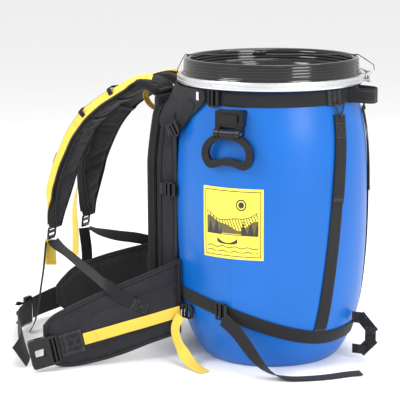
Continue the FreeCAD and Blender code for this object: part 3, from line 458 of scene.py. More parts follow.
def tube_faces(rings, n, closed=False):
    """Faces round rings of n points, capped at both ends or closed into a loop."""
    faces = []
    for i in range(rings if closed else rings - 1):
        m = (i + 1) % rings
        for j in range(n):
            k = (j + 1) % n
            faces.append((i * n + j, i * n + k, m * n + k, m * n + j))
    if not closed:
        faces.append(tuple(range(n - 1, -1, -1)))
        faces.append(tuple(range((rings - 1) * n, rings * n)))
    return faces


def heading(line, i):
    """The direction of a line at its point i."""
    return (line[min(i + 1, len(line) - 1)] - line[max(i - 1, 0)]).normalized()


def running_lengths(line):
    marks = [0.0]
    for a, b in zip(line, line[1:]):
        marks.append(marks[-1] + (b - a).length)
    return marks


def nurbs_line(points, resolution=12):
    """The points that Blender gives for a NURBS spline with these control points."""
    data = bpy.data.curves.new("line", "CURVE")
    data.dimensions = "3D"
    data.resolution_u = resolution
    spline = data.splines.new("NURBS")
    spline.points.add(len(points) - 1)
    for control, p in zip(spline.points, points):
        control.co = (p[0], p[1], p[2], 1.0)
    spline.order_u = 3
    spline.use_endpoint_u = True
    holder = bpy.data.objects.new("line", data)
    mesh = bpy.data.meshes.new_from_object(holder)
    line = [v.co.copy() for v in mesh.vertices]
    bpy.data.objects.remove(holder)
    bpy.data.curves.remove(data)
    bpy.data.meshes.remove(mesh)
    return line


def eased(points, position):
    """A point on the smooth curve through some points, position counting them from 0."""
    last = len(points) - 1
    i = min(int(position), last - 1)
    f = position - i
    a, b = points[i], points[i + 1]
    before = points[i - 1] if i > 0 else a * 2 - b
    after = points[i + 2] if i + 2 <= last else b * 2 - a
    return (a * 2 + (b - before) * f + (before * 2 - a * 5 + b * 4 - after) * f * f
            + (a * 3 - before - b * 3 + after) * f ** 3) / 2


def through(points, count):
    return [eased(points, (len(points) - 1) * i / (count - 1)) for i in range(count)]


class Strap:
    """A flat run of webbing: its middle line, with its width and face directions at each point."""

    def __init__(self, line, across, width, thickness=WEBBING, turned_over=False):
        self.width, self.thickness = width, thickness
        last = len(line) - 1
        self.frames, self.marks = [], running_lengths(line)
        for i, p in enumerate(line):
            along = heading(line, i)
            side = across if isinstance(across, Vector) else eased(across, (len(across) - 1) * i / last)
            side = (side - along * side.dot(along)).normalized()
            face = along.cross(side)
            if turned_over:
                face = -face
            self.frames.append((p, along, side, face))
        self.length = self.marks[-1]

    def at(self, s, v, h):
        """A point s along the middle line, v across it and h above its middle."""
        i = 0
        while i < len(self.marks) - 2 and self.marks[i + 1] < s:
            i += 1
        f = (s - self.marks[i]) / max(self.marks[i + 1] - self.marks[i], 1e-9)
        f = min(1.0, max(0.0, f))
        spots = [p + side * v + face * h for p, along, side, face in self.frames[i:i + 2]]
        return spots[0].lerp(spots[1], f), self.frames[i][3]

    def piece(self, name, material, slot, replaces=(), body="barrel"):
        w, t = self.width / 2, self.thickness / 2
        half = [(-w, 0), (-w + 0.35 * t, 0.7 * t), (-w + t, t), (-0.5 * w, 0.92 * t), (0, 0.96 * t),
                (0.5 * w, 0.92 * t), (w - t, t), (w - 0.35 * t, 0.7 * t)]
        section = half + [(-v, -h) for v, h in half]
        points, lay = [], []
        for (p, along, side, face), s in zip(self.frames, self.marks):
            for v, h in section:
                points.append(p + side * v + face * h)
                lay.append((s, v, h))
        faces = tube_faces(len(self.frames), len(section))
        mesh = face_outward(build_mesh(name, points, faces, lay))
        piece = add_piece(name, mesh, material, body, 50.0)
        if replaces:
            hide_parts(*replaces)
        return piece


def sew(name, rows, material, body="barrel", pitch=0.0042, long=0.0028, thick=0.0009):
    """Stitches as small raised lengths of thread along rows of (point, outward) pairs."""
    points, faces, sides = [], [], 5
    for row in rows:
        carried = 0.0
        for (a, out_a), (b, out_b) in zip(row, row[1:]):
            run = (b - a).length
            if run < 1e-6:
                continue
            along = (b - a) / run
            s = carried
            while s < run:
                centre = a.lerp(b, s / run)
                outward = out_a.lerp(out_b, s / run).normalized()
                side = along.cross(outward).normalized()
                base = len(points)
                for end, size in ((-0.5, 0.25), (-0.32, 0.9), (0.32, 0.9), (0.5, 0.25)):
                    for k in range(sides):
                        angle = 2 * math.pi * k / sides
                        points.append(centre + along * end * long
                                      + side * math.cos(angle) * thick / 2 * size
                                      + outward * math.sin(angle) * thick / 2 * size * 0.8)
                faces += [tuple(base + k for k in face) for face in tube_faces(4, sides)]
                s += pitch
            carried = s - run
    return add_piece(name, build_mesh(name, points, faces), material, body)


def strap_rows(strap, insets, start=0.0, end=None, lift=THREAD_LIFT, both=False, step=0.006):
    """Rows of stitches along a strap, at distances across it."""
    end = strap.length if end is None else end
    count = max(2, int((end - start) / step))
    rows = []
    for v in insets:
        for sign in ((1, -1) if both else (1,)):
            row = []
            for i in range(count + 1):
                s = start + (end - start) * i / count
                spot, face = strap.at(s, v, sign * (strap.thickness / 2 + lift))
                row.append((spot, face * sign))
            rows.append(row)
    return rows


def bar_tack(strap, s, lift=THREAD_LIFT, lines=3, gap=0.0016, sign=1):
    """Dense rows across a strap, as where it is sewn down."""
    rows = []
    for i in range(lines):
        reach = strap.width / 2 - 0.002
        ends = [strap.at(s + (i - (lines - 1) / 2) * gap, v, sign * (strap.thickness / 2 + lift))
                for v in (-reach, reach)]
        rows.append([(p, face * sign) for p, face in ends])
    return rows


def box_tack(strap, s0, s1, lift=THREAD_LIFT, sign=1):
    """A sewn box with a cross in it."""
    reach = strap.width / 2 - 0.0025
    corner = {(i, j): strap.at((s0, s1)[i], (-reach, reach)[j], sign * (strap.thickness / 2 + lift))
              for i in (0, 1) for j in (0, 1)}
    order = [(0, 0), (0, 1), (1, 1), (1, 0), (0, 0), (1, 1)], [(0, 1), (1, 0)]
    return [[(corner[c][0], corner[c][1] * sign) for c in path] for path in order]


def moulded(node, material, edge, body="barrel"):
    """A CAD piece's shape with its moulded edges rounded off."""
    mesh = nodes[node].data.copy()
    mesh.materials.clear()
    bm = bmesh.new()
    bm.from_mesh(mesh)
    bmesh.ops.remove_doubles(bm, verts=bm.verts, dist=0.00001)
    bmesh.ops.dissolve_limit(bm, angle_limit=math.radians(1.5), verts=bm.verts, edges=bm.edges)
    bm.to_mesh(mesh)
    bm.free()
    for layer in list(mesh.attributes):
        if layer.name == "custom_normal":
            mesh.attributes.remove(layer)
    piece = add_piece(node + "_moulded", mesh, material, body, 35.0)
    rounding = piece.modifiers.new("rounded_edges", "BEVEL")
    rounding.width = edge
    rounding.segments = 2
    rounding.limit_method = "ANGLE"
    rounding.angle_limit = math.radians(35)
    rounding.harden_normals = False
    rounding.use_clamp_overlap = True
    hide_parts(node)
    return piece


def refinish(node, material):
    """A CAD piece that keeps its shape and gets its real finish."""
    piece = nodes[node]
    for i in range(max(1, len(piece.material_slots))):
        if piece.material_slots:
            piece.material_slots[i].material = material
        else:
            piece.data.materials.append(material)


# ---- free ends of webbing: listed routes, as in the part's source ------------------------
TAILS = {
    "lower_band_tail": dict(
        route=[(-14, -205, 113), (12, -207, 97), (36, -211, 73), (60, -212, 44), (88, -208, 16),
               (122, -196, 3.5), (160, -172, 2.2), (196, -142, 2.4), (222, -108, 2.6), (244, -92, 3.2)],
        across=[(0, 0, 1), (0.1, 0, 1), (0.3, -0.1, 1), (0.5, -0.4, 0.9), (0.4, -0.8, 0.5),
                (0.4, -0.9, 0.1), (0.5, -0.85, 0.02), (0.7, -0.7, 0), (0.75, -0.6, 0), (0.6, -0.8, 0)],
        width=BAND, length=0.3405),
    "stabiliser_tail_near": dict(
        route=[(-127, -173, 99), (-136, -180, 84), (-134, -186, 62), (-120, -192, 38),
               (-100, -200, 18), (-74, -212, 4.5), (-46, -224, 2.4)],
        across=[(0.9, -0.3, 0), (0.9, -0.3, 0), (0.9, -0.3, 0.1), (0.9, -0.2, 0.2),
                (0.7, 0.5, 0.2), (0.5, 0.8, 0.1), (0.45, 0.9, 0)],
        width=NARROW, length=0.1602),
    "shoulder_tail_near": dict(
        route=[(-507, -90, 203), (-509, -93, 172), (-510, -98, 140), (-516, -99, 108),
               (-519, -104, 76), (-523, -108, 46), (-526, -116, 17), (-532, -126, 4.5)],
        across=[(0.41, -0.91, 0)] * 2, width=NARROW, length=0.2061),
    "shoulder_tail_far": dict(
        route=[(-508, 76, 203), (-505, 76, 180), (-501, 75, 156), (-499, 73, 131), (-500, 72, 106),
               (-503, 71, 80), (-505, 71, 52)],
        across=[(0.91, 0.41, 0)] * 2, width=NARROW, length=0.1519),
    "lifter_tail_far": dict(
        route=[(-503, 50, 322), (-508, 49, 300), (-513, 47, 274), (-514, 45, 247), (-512, 44, 220),
               (-511, 44, 194), (-513, 45, 168), (-514, 46, 146)],
        across=[(0.41, -0.91, 0), (0.85, -0.53, 0), (0.9, -0.42, 0)], width=NARROW, length=0.1774),
    "hip_belt_tail": dict(
        route=[(-571, -60, 32.5), (-567, -96, 31), (-555, -138, 29), (-528, -180, 27.5), (-488, -226, 27.5),
               (-450, -272, 28), (-422, -316, 26), (-409, -356, 23)],
        across=[(0, 0, 1), (0, 0, 1), (0, 0, 1), (0, 0, 1), (-0.1, 0, 1),
                (-0.25, 0, 0.97), (-0.45, 0, 0.89), (-0.58, 0.05, 0.81)],
        width=BELT, length=0.3442),
}
YELLOW_TAILS = ("stabiliser_tail_near", "lifter_tail_far")


def free_tails():
    for name, tail in TAILS.items():
        line = nurbs_line([mm(*p) for p in tail["route"]])
        across = [Vector(a) for a in tail["across"]]
        strap = Strap(line, across, tail["width"])
        piece = strap.piece(name + "_webbing", *(YELLOW if name in YELLOW_TAILS else BLACK), [name])


free_tails()


# ---- the barrel's wall, for everything that lies on it -----------------------------------
wall_tree = BVHTree.FromPolygons([v.co for v in nodes["barrel_shell"].data.vertices],
                                 [tuple(p.vertices) for p in nodes["barrel_shell"].data.polygons])


def turned(azimuth, z=0.0):
    a = math.radians(azimuth)
    return Vector((math.cos(a), math.sin(a), z))


def wall_radius(azimuth, z):
    outward = turned(azimuth)
    hit = wall_tree.ray_cast(outward * 0.5 + UP * z, -outward)[0]
    return math.hypot(hit.x, hit.y)


def on_wall(azimuth, z, out):
    return turned(azimuth) * (wall_radius(azimuth, z) + out) + UP * z


def wall_strap(route, out, width, upright=False):
    """Webbing that lies on the wall, from (azimuth, height) pairs."""
    line, across = [], []
    for azimuth, z in route:
        line.append(on_wall(azimuth, z, out))
        if upright:
            across.append(turned(azimuth + 90))
        else:
            lean = wall_radius(azimuth, z + 0.004) - wall_radius(azimuth, z - 0.004)
            across.append((turned(azimuth) * lean + UP * 0.008).normalized())
    return Strap(line, across, width, turned_over=not upright)


# ---- barrel, lid and closure -------------------------------------------------------------
refinish("barrel_shell", BARREL)
refinish("lid", LID)
refinish("lid_gasket", RUBBER)
for node in ("locking_ring", "latch_lever", "latch_link", "latch_pivot_bracket", "latch_hook_bracket",
             "padlock_hasp"):
    refinish(node, ZINC)
refinish("latch_pins", PIN)
refinish("handle_pins", PIN)
refinish("frame_sheet", FRAME_BOARD)
refinish("strap_rings", WIRE)
for side in ("near", "far"):
    moulded("handle_" + side, HANDLE, 0.0030, "handle_" + side)
    moulded("handle_bracket_" + side, HANDLE, 0.0012)


def label():
    """A curved vinyl label on the near side of the wall."""
    first, last, low, high, steps = -108.0, -70.0, 0.240, 0.385, 36
    points, lay = [], []
    for j in range(steps + 1):
        for i in range(steps + 1):
            u, v = i / steps, j / steps
            edge = min(i, j, steps - i, steps - j)
            out = 0.0002 if edge == 0 else 0.00045
            points.append(on_wall(first + (last - first) * u, low + (high - low) * v, out))
            lay.append((u, v, out))
    mesh = build_mesh("label_face", points, grid_faces(steps + 1, steps + 1), lay)
    piece = add_piece("label_face", mesh, LABEL)
    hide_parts("label")


label()

# ---- bands and straps round the barrel ---------------------------------------------------
UPPER_Z = 0.561
BAND_OUT = 0.002
HARNESS_AZIMUTH = 146.0


def lower_height(azimuth):
    f = min(1.0, max(0.0, (abs(azimuth) - 20.0) / 105.0))
    return 0.064 + 0.076 * f * f * (3 - 2 * f)


def upright_azimuth(z):
    return -33.0 + 13.0 * (z - 0.064) / 0.461


def bands():
    rows = []
    steps = 120
    angles = [-HARNESS_AZIMUTH + 2 * HARNESS_AZIMUTH * i / steps for i in range(steps + 1)]
    upper = wall_strap([(a, UPPER_Z) for a in angles], BAND_OUT, BAND)
    upper.piece("upper_band_webbing", *BLACK, ["upper_band"])
    lower = wall_strap([(a, lower_height(a)) for a in angles], BAND_OUT, BAND)
    lower.piece("lower_band_webbing", *BLACK, ["lower_band"])
    for azimuth in (-33.0, 33.0):
        s = lower.length * (azimuth + HARNESS_AZIMUTH) / (2 * HARNESS_AZIMUTH)
        for shift in (-0.014, -0.005, 0.005, 0.014):
            rows += bar_tack(lower, s + shift, 0.0003)
    reach = 0.010
    for azimuth in (-9.0, 9.0):
        s = lower.length * (azimuth + HARNESS_AZIMUTH) / (2 * HARNESS_AZIMUTH)
        rows += box_tack(lower, s - reach, s + reach, 0.0003)
    sew("band_stitching", rows, BLACK_THREAD)


def uprights():
    rows = []
    for side, sign in (("near", 1), ("far", -1)):
        def route(z0, z1, count):
            heights = [z0 + (z1 - z0) * i / (count - 1) for i in range(count)]
            return [(upright_azimuth(z) * sign, z) for z in heights]
        strap = wall_strap(route(0.526, 0.079, 60), BAND_OUT, BAND, True)
        strap.piece("upright_webbing_" + side, *BLACK, ["upright_strap_" + side])
        fold = wall_strap(route(0.526, 0.350, 30), BAND_OUT + WEBBING + 0.0005, BAND, True)
        replaced = ["upright_tails"] if side == "near" else []
        fold.piece("upright_fold_" + side, *BLACK, replaced)
        face = 1 if (fold.frames[0][3].dot(fold.frames[0][0] - UP * fold.frames[0][0].z) > 0) else -1
        rows += box_tack(fold, 0.018, 0.046, THREAD_LIFT, face)
        rows += bar_tack(fold, fold.length - 0.006, THREAD_LIFT, 4, sign=face)
        rows += bar_tack(strap, strap.length - 0.006, THREAD_LIFT, 4, sign=face)
        patch = wall_strap([(a * sign, UPPER_Z) for a in (-29, -27, -25, -23, -21, -19, -17)],
                           BAND_OUT + WEBBING + 0.0003, BAND + 0.002)
        patch.piece("stitched_patch_" + side, *BLACK,
                    ["stitched_patches"] if side == "near" else [])
        face = 1 if patch.frames[0][3].dot(turned(-23 * sign)) > 0 else -1
        rows += box_tack(patch, 0.003, patch.length - 0.003, THREAD_LIFT, face)
        for s in (0.006, patch.length / 2, patch.length - 0.006):
            rows += bar_tack(patch, s, THREAD_LIFT, sign=face)
    sew("upright_stitching", rows, BLACK_THREAD)


def grab_loops():
    reach = 0.231
    upper = through([on_wall(-9, UPPER_Z, 0.0046), mm(203, -25, 561), mm(222, -21, 560), mm(231, -9, 559),
                     mm(231, 9, 559), mm(222, 21, 560), mm(203, 25, 561), on_wall(9, UPPER_Z, 0.0046)], 57)
    upper = [Vector((min(p.x, reach), p.y, p.z)) for p in upper]
    loop = Strap(upper, UP, BAND)
    loop.piece("upper_grab_loop_webbing", *BLACK, ["upper_grab_loop"])
    rows = strap_rows(loop, (-0.010, 0.010), 0.02, loop.length - 0.02, both=True)
    runs = (((188, 92), (213, 92), 24), ((203, 97), (236, 62), 25), ((229, 76), (229, 38), 24),
            ((236, 49), (206, 17), 22), ((218, 24), (189, 24), 20))
    for i, (a, b, width) in enumerate(runs):
        layer = (0.0013 if i % 2 else -0.0013)
        a, b = mm(a[0], 0, a[1]), mm(b[0], 0, b[1])
        line = [a.lerp(b, k / 8) + Vector((0, layer, 0)) for k in range(9)]
        side = (b - a).normalized().cross(Vector((0, 1, 0)))
        run = Strap(line, side, width / 1000)
        run.piece("lower_loop_run_%d" % i, *BLACK, ["lower_grab_loop"] if i == 0 else [])
        for sign in (1, -1):
            rows += box_tack(run, 0.003, 0.014, THREAD_LIFT, sign)
    sew("grab_loop_stitching", rows, BLACK_THREAD)


def haul_loop():
    points = [mm(-236 - x, 0, 530 + z)
              for x, z in ((0, -26), (26, -29), (48, -20), (61, -4), (60, 13), (44, 20), (22, 16), (0, 6))]
    loop = Strap(through(points, 43), ACROSS_BACK, NARROW)
    loop.piece("haul_loop_webbing", *YELLOW, ["haul_loop"])
    sew("haul_loop_stitching", strap_rows(loop, (-0.008, 0.008), 0.01, loop.length - 0.01, both=True),
        YELLOW_THREAD)


def side_webbing():
    rows = []
    for side, sign in (("near", 1), ("far", -1)):
        def at(x, y, z):
            return mm(x, y * sign, z)
        top = Strap(through([at(-176, -134.6, 478), at(-150, -147, 492), at(-128, -157, 510),
                             at(-112, -160, 534), at(-104, -162, 549)], 25),
                    Vector((0.75, -0.3 * sign, -0.55)), NARROW)
        top.piece("side_webbing_top_" + side, *BLACK,
                  ["side_webbing"] if side == "near" else [])
        level = [at(-196, -134.4, 358), at(-170, -136, 358), at(-150, -139, 358)]
        middle = Strap(through(level, 13), UP, NARROW)
        middle.piece("side_webbing_middle_" + side, *BLACK)
        for strap in (top, middle):
            for face in (1, -1):
                rows += bar_tack(strap, 0.006, THREAD_LIFT, sign=face)
    sew("side_stitching", rows, BLACK_THREAD)


def lid_strap():
    rim = 0.1758
    left_az, right_az, strap_z = 198.0, 30.0, 0.6312
    left, right = turned(left_az) * rim + UP * strap_z, turned(right_az) * rim + UP * strap_z
    chord = (right - left).normalized()
    before = [turned(left_az) * r + UP * z for r, z in ((0.1984, 0.5901), (0.1976, 0.6013), (0.1853, 0.6252),
                                                         (0.1808, strap_z))]
    after = [turned(az) * r + UP * z for az, r, z in ((30, 0.1818, strap_z), (30, 0.1978, 0.6212),
                                                       (29, 0.2139, 0.6103), (28, 0.2154, 0.6003))]
    flat = [left.lerp(right, i / 30) for i in range(31)]
    strap = Strap(before + flat + after, UP.cross(chord), 0.012, 0.0014)
    strap.piece("lid_strap_webbing", *BLACK, ["lid_strap"], "lid")
    moulded("lid_strap_buckle", ACETAL, 0.0007, "lid")


bands()
uprights()
grab_loops()
haul_loop()
side_webbing()
lid_strap()

# ---- moulded hardware --------------------------------------------------------------------
for node in ("ladder_locks", "band_locks", "strap_sliders", "hip_buckle_socket", "hip_buckle_plug"):
    moulded(node, ACETAL, 0.0009)


# ---- padding -----------------------------------------------------------------------------
class Pad:
    """A stuffed panel: the middle of its filling on a grid, with half thicknesses.

    rows are (low edge, high edge, outward) at stations along it.
    """

    def __init__(self, rows, thickness, rim=0.0035, puff=4.0, end_puff=0.03, columns=25, swell=0.0002):
        self.thickness, self.rim, self.swell = thickness, rim, swell
        self.grid, self.out = [], []
        for low, high, outward in rows:
            self.grid.append([low.lerp(high, j / (columns - 1)) for j in range(columns)])
            self.out.append(outward.normalized())
        self.rows, self.columns = len(rows), columns
        marks = running_lengths([row[columns // 2] for row in self.grid])
        self.marks, self.length = marks, marks[-1]
        self.half = []
        for i in range(self.rows):
            line = []
            ends = min(1.0, min(marks[i], self.length - marks[i]) / end_puff)
            for j in range(columns):
                v = abs(2 * j / (columns - 1) - 1)
                crown = (1 - v ** puff) ** 0.5 * (1 - (1 - ends) ** 2) ** 0.5
                line.append(rim + (thickness / 2 - rim) * crown)
            self.half.append(line)
        self.tree = KDTree(self.rows * columns)
        for i in range(self.rows):
            for j in range(columns):
                self.tree.insert(self.grid[i][j], i * columns + j)
        self.tree.balance()

    def width_at(self, i):
        return (self.grid[i][-1] - self.grid[i][0]).length

    def mesh(self, name, shrink=1.0):
        n = self.columns
        points, faces = [], []
        for sign in (1, -1):
            for i in range(self.rows):
                for j in range(n):
                    points.append(self.grid[i][j] + self.out[i] * self.half[i][j] * sign * shrink)
        back = self.rows * n
        for a, b, c, d in grid_faces(self.rows, n):
            faces.append((a, b, c, d))
            faces.append((back + a, back + d, back + c, back + b))
        ring = self.ring()
        for (i0, j0), (i1, j1) in zip(ring, ring[1:] + ring[:1]):
            a, b = i0 * n + j0, i1 * n + j1
            faces.append((a, back + a, back + b, b))
        return face_outward(build_mesh(name, points, faces))

    def ring(self):
        """The outline's grid places in order."""
        n, m = self.columns - 1, self.rows - 1
        return ([(i, 0) for i in range(m)] + [(m, j) for j in range(n)]
                + [(i, n) for i in range(m, 0, -1)] + [(0, j) for j in range(n, 0, -1)])

    def lay(self, p):
        """Along, across and outwards for a point near the pad, and how far in from its edge."""
        spot, index, _ = self.tree.find(p)
        i, j = divmod(index, self.columns)
        ahead, behind = self.grid[min(i + 1, self.rows - 1)][j], self.grid[max(i - 1, 0)][j]
        along = (ahead - behind).normalized()
        across = (self.grid[i][-1] - self.grid[i][0]).normalized()
        away = p - spot
        s = self.marks[i] + away.dot(along)
        half = self.width_at(i) / 2
        v = (2 * j / (self.columns - 1) - 1) * half + away.dot(across)
        h = away.dot(self.out[i])
        return s, v, h, min(half - abs(v), s, self.length - s)

    def outward(self, s):
        return self.out[min(self.rows - 1, max(0, round(s / self.length * (self.rows - 1))))]

    def held(self, p):
        """The point drawn back to the thickness that webbing across the pad allows."""
        s, _, h, _ = self.lay(p)
        extra = abs(h) - self.thickness / 2 - self.swell
        return p - self.outward(s) * math.copysign(extra, h) if extra > 0 else p

    def edge_line(self):
        return [(self.grid[i][j], self.out[i]) for i, j in self.ring()]


def evaluated_mesh(piece):
    graph = bpy.context.evaluated_depsgraph_get()
    return bpy.data.meshes.new_from_object(piece.evaluated_get(graph))


def stuffed(pads, voxel=0.0052, pressure=4.0, cap=0.006):
    """Fills every pad by cloth simulation at once, and gives each its final mesh."""
    work = []
    for name, pad in pads.items():
        holder = bpy.data.objects.new(name + "_work", pad.mesh(name, 0.86))
        bpy.context.scene.collection.objects.link(holder)
        remesh = holder.modifiers.new("even", "REMESH")
        remesh.mode = "VOXEL"
        remesh.voxel_size = voxel
        start = evaluated_mesh(holder)
        holder.modifiers.clear()
        old = holder.data
        holder.data = start
        bpy.data.meshes.remove(old)
        work.append((name, pad, holder))
    starts = {name: [v.co.copy() for v in holder.data.vertices] for name, pad, holder in work}
    for name, pad, holder in work:
        pins = holder.vertex_groups.new(name="pins")
        for i, p in enumerate(starts[name]):
            inset = pad.lay(p)[3]
            pins.add([i], 1.0 if inset < 0.006 else 0.0, "REPLACE")
        cloth = holder.modifiers.new("cloth", "CLOTH")
        cloth.settings.vertex_group_mass = "pins"
        cloth.settings.use_pressure = True
        cloth.settings.uniform_pressure_force = pressure
        cloth.settings.shrink_min = -0.035
        cloth.settings.tension_stiffness = 12
        cloth.settings.compression_stiffness = 12
        cloth.settings.bending_stiffness = 0.4
        cloth.settings.quality = 4
        cloth.settings.effector_weights.gravity = 0.0
        cloth.collision_settings.use_collision = False
    scene = bpy.context.scene
    for number in range(1, 21):
        scene.frame_set(number)
    for name, pad, holder in work:
        done = evaluated_mesh(holder)
        for before, v in zip(starts[name], done.vertices):
            move = v.co - before
            if move.length > cap:
                move *= cap / move.length
            v.co = pad.held(before + move)
        holder.modifiers.clear()
        old = holder.data
        holder.data = done
        bpy.data.meshes.remove(old)
    scene.frame_set(1)
    results = {}
    for name, pad, holder in work:
        finer = holder.modifiers.new("finer", "SUBSURF")
        finer.levels = finer.render_levels = 1
        results[name] = evaluated_mesh(holder)
        bpy.data.objects.remove(holder)
    return results


def sewn_mesh(pad, mesh, seams, depth=0.0026, reach=0.0045, puckers=0.0):
    """Pulls sewn lines into a stuffed mesh and lays its cloth out. seams gives distances to lines."""
    lay = []
    places = [pad.lay(v.co) for v in mesh.vertices]
    for v, (s, w, h, inset) in zip(mesh.vertices, places):
        outward = pad.outward(s)
        pull = 0.0
        for line in seams:
            gap, along = line(s, w, inset)
            if gap < 3 * reach:
                pucker = 1 + puckers * math.sin(along * 2 * math.pi / 0.021)
                pull = max(pull, depth * pucker * math.exp(-(gap / reach) ** 2))
        limit = abs(h) * 0.6
        v.co -= outward * min(pull, limit) * (1 if h > 0 else -1)
        lay.extend((s, w, h))
    layer = mesh.attributes.get("lay") or mesh.attributes.new("lay", "FLOAT_VECTOR", "POINT")
    layer.data.foreach_set("vector", lay)
    return mesh


def bound_edge(name, pad, material, tape=0.0062, spare=0.0016):
    """Binding tape folded round a pad's outline, and its two rows of stitches."""
    ring = pad.edge_line()
    count = len(ring)
    centre = sum((p for p, out in ring), Vector()) / count
    section = [(-tape, 1.0), (-tape * 0.4, 1.15), (0.0006, 0.95), (0.0018, 0.4)]
    section += [(a, -b) for a, b in reversed(section)]
    points, lay, threads = [], [], [[], []]
    mark = 0.0
    for k, (p, out) in enumerate(ring):
        a, b = ring[k - 1][0], ring[(k + 1) % count][0]
        along = (b - a).normalized()
        away = along.cross(out).normalized()
        if k == 0:
            flipped = away.dot(p - centre) < 0
        if flipped:
            away = -away
        half = pad.rim + spare
        for x, h in section:
            points.append(p + away * x + out * (h * half))
            lay.append((mark, x, h * half))
        for row, sign in zip(threads, (1, -1)):
            row.append((p - away * (tape * 0.62) + out * (half * 1.12 * sign), out * sign))
        mark += (b - a).length / 2
    faces = tube_faces(count, len(section), closed=True)
    add_piece(name, face_outward(build_mesh(name, points, faces, lay)), material)
    return [row + row[:1] for row in threads]


STRAP_PATH = [(-222, 58, 550.5), (-231, 60, 562), (-250, 62, 570), (-270, 64, 567), (-315, 67, 544),
              (-365, 68, 512), (-401, 68, 478), (-427, 69, 441), (-456, 70, 382), (-470, 71, 341),
              (-487, 72, 276), (-492, 73, 238)]
FAR_BOW = (0, 0, 0.1, 0.3, 0.7, 1.0, 1.0, 1.0, 0.9, 0.7, 0.25, 0)   # the far strap stands out further
STRAP_HALF = 0.039
WING_ROOT = mm(-148, -148, 0)
WING_DIR = Vector((-0.739, -0.674, 0))
WING_OUT = Vector((0.674, -0.739, 0))
NEAR_WING = [(-6, 54, 212), (57, 38, 189), (119, 19, 168), (177, 7, 148), (232, 2.4, 126), (264, 9, 111),
             (284, 28, 92)]
FAR_WING = [(-166, 151, 60, 212), (-215, 152, 50, 203), (-280, 134, 42, 192), (-340, 107, 33, 178),
            (-400, 78, 22, 162), (-455, 55, 12, 144), (-505, 32, 10, 121), (-530, 18, 22, 96),
            (-544, 9, 38, 76)]
WING_FACE = 0.0103
WING_THICKNESS = 0.018
WEBBING_STEPS, KEEPER_STEPS = 159, 39   # divisions of the strap for its webbing, and for the keepers' places


def strap_line(count, sign):
    points = [mm(x, y * sign, z) for x, y, z in STRAP_PATH]
    if sign > 0:
        points = [p - Vector((0.019, 0, 0)) * bow for p, bow in zip(points, FAR_BOW)]
    fine = through(points, 400)
    marks = running_lengths(fine)
    line, k = [], 0
    for i in range(count):
        s = marks[-1] * i / (count - 1)
        while k < len(fine) - 2 and marks[k + 1] < s:
            k += 1
        line.append(fine[k].lerp(fine[k + 1], (s - marks[k]) / (marks[k + 1] - marks[k])))
    return line


def strap_outward(line, i):
    along = heading(line, i)
    face = ACROSS_BACK.cross(along).normalized()
    if (face.x > 0 and i > len(line) // 3) or (face.z < 0 and i <= len(line) // 3):
        face = -face
    return face


def strap_sides(line, i, sign):
    """Across the strap and out of its face, with the far strap turned a little about its length."""
    out = strap_outward(line, i)
    s = i / (len(line) - 1)
    turn = math.radians(-20.0) * math.sin(math.pi * min(1.0, max(0.0, (s - 0.1) / 0.85)))
    c, d = (math.cos(turn), math.sin(turn)) if sign > 0 else (1.0, 0.0)
    return ACROSS_BACK * c + out * d, out * c - ACROSS_BACK * d


def shoulder_pad(sign):
    line = strap_line(120, sign)
    rows, last = [], len(line) - 1
    for i, p in enumerate(line):
        s = i / last
        half = STRAP_HALF
        taper = max(0.0, (s - 0.76) / 0.24)
        half *= 1 - 0.64 * taper ** 1.7
        half *= 1 - max(0.0, (0.03 - s) / 0.03) ** 2 * 0.2
        across, out = strap_sides(line, i, sign)
        rows.append((p - across * half, p + across * half, out))
    return Pad(rows, 0.0255, rim=0.0070, puff=5.0, end_puff=0.022, columns=21)


def wing_point(u, z, out):
    return WING_ROOT + WING_DIR * (u / 1000) + WING_OUT * out + UP * (z / 1000)


def near_wing_pad():
    stations = through([Vector(s) for s in NEAR_WING], 72)
    rows = [(wing_point(u, low, 0), wing_point(u, high, 0), WING_OUT) for u, low, high in stations]
    return Pad(rows, WING_THICKNESS, columns=31)


def far_wing_pad():
    count = 96
    plan = through([mm(x, y, 0) for x, y, _, _ in FAR_WING], count)
    heights = through([mm(low, high, 0) for _, _, low, high in FAR_WING], count)
    rows = [(p + UP * h.x, p + UP * h.y, UP.cross(heading(plan, i)))
            for i, (p, h) in enumerate(zip(plan, heights))]
    return Pad(rows, WING_THICKNESS, columns=31)


def panel_half(z, widest):
    """Half the back's width at a height: its top narrows to the yoke."""
    narrow = max(0.0, (z - 0.41) / 0.12)
    return widest - 0.034 * narrow ** 1.3


def panel_pad():
    """The back's front cushion."""
    rows, count, front = [], 90, -0.2175
    for i in range(count):
        z = 0.064 + (0.528 - 0.064) * i / (count - 1)
        half = panel_half(z, 0.131)
        corner = min(z - 0.064, 0.528 - z)
        half -= 0.016 * (1 - min(1.0, corner / 0.02)) ** 2
        rows.append((Vector((front, -half, z)), Vector((front, half, z)), Vector((-1, 0, 0))))
    return Pad(rows, 0.031, rim=0.0065, puff=6.0, columns=41, swell=0.0025)


def lumbar_pad():
    rows, count = [], 40
    for i in range(count):
        z = 0.086 + 0.126 * i / (count - 1)
        half = 0.095 - 0.012 * (1 - min(1.0, min(z - 0.086, 0.212 - z) / 0.02)) ** 2
        rows.append((Vector((-0.2435, -half, z)), Vector((-0.2435, half, z)), Vector((-1, 0, 0))))
    return Pad(rows, 0.0190, rim=0.004, columns=31, swell=0.0025)


def yoke_pad():
    rows, count = [], 16
    for i in range(count):
        z = 0.516 + 0.0335 * i / (count - 1)
        rows.append((Vector((-0.2205, -0.097, z)), Vector((-0.2205, 0.097, z)), Vector((-1, 0, 0))))
    return Pad(rows, 0.021, rim=0.005, puff=6.0, end_puff=0.008, columns=41)


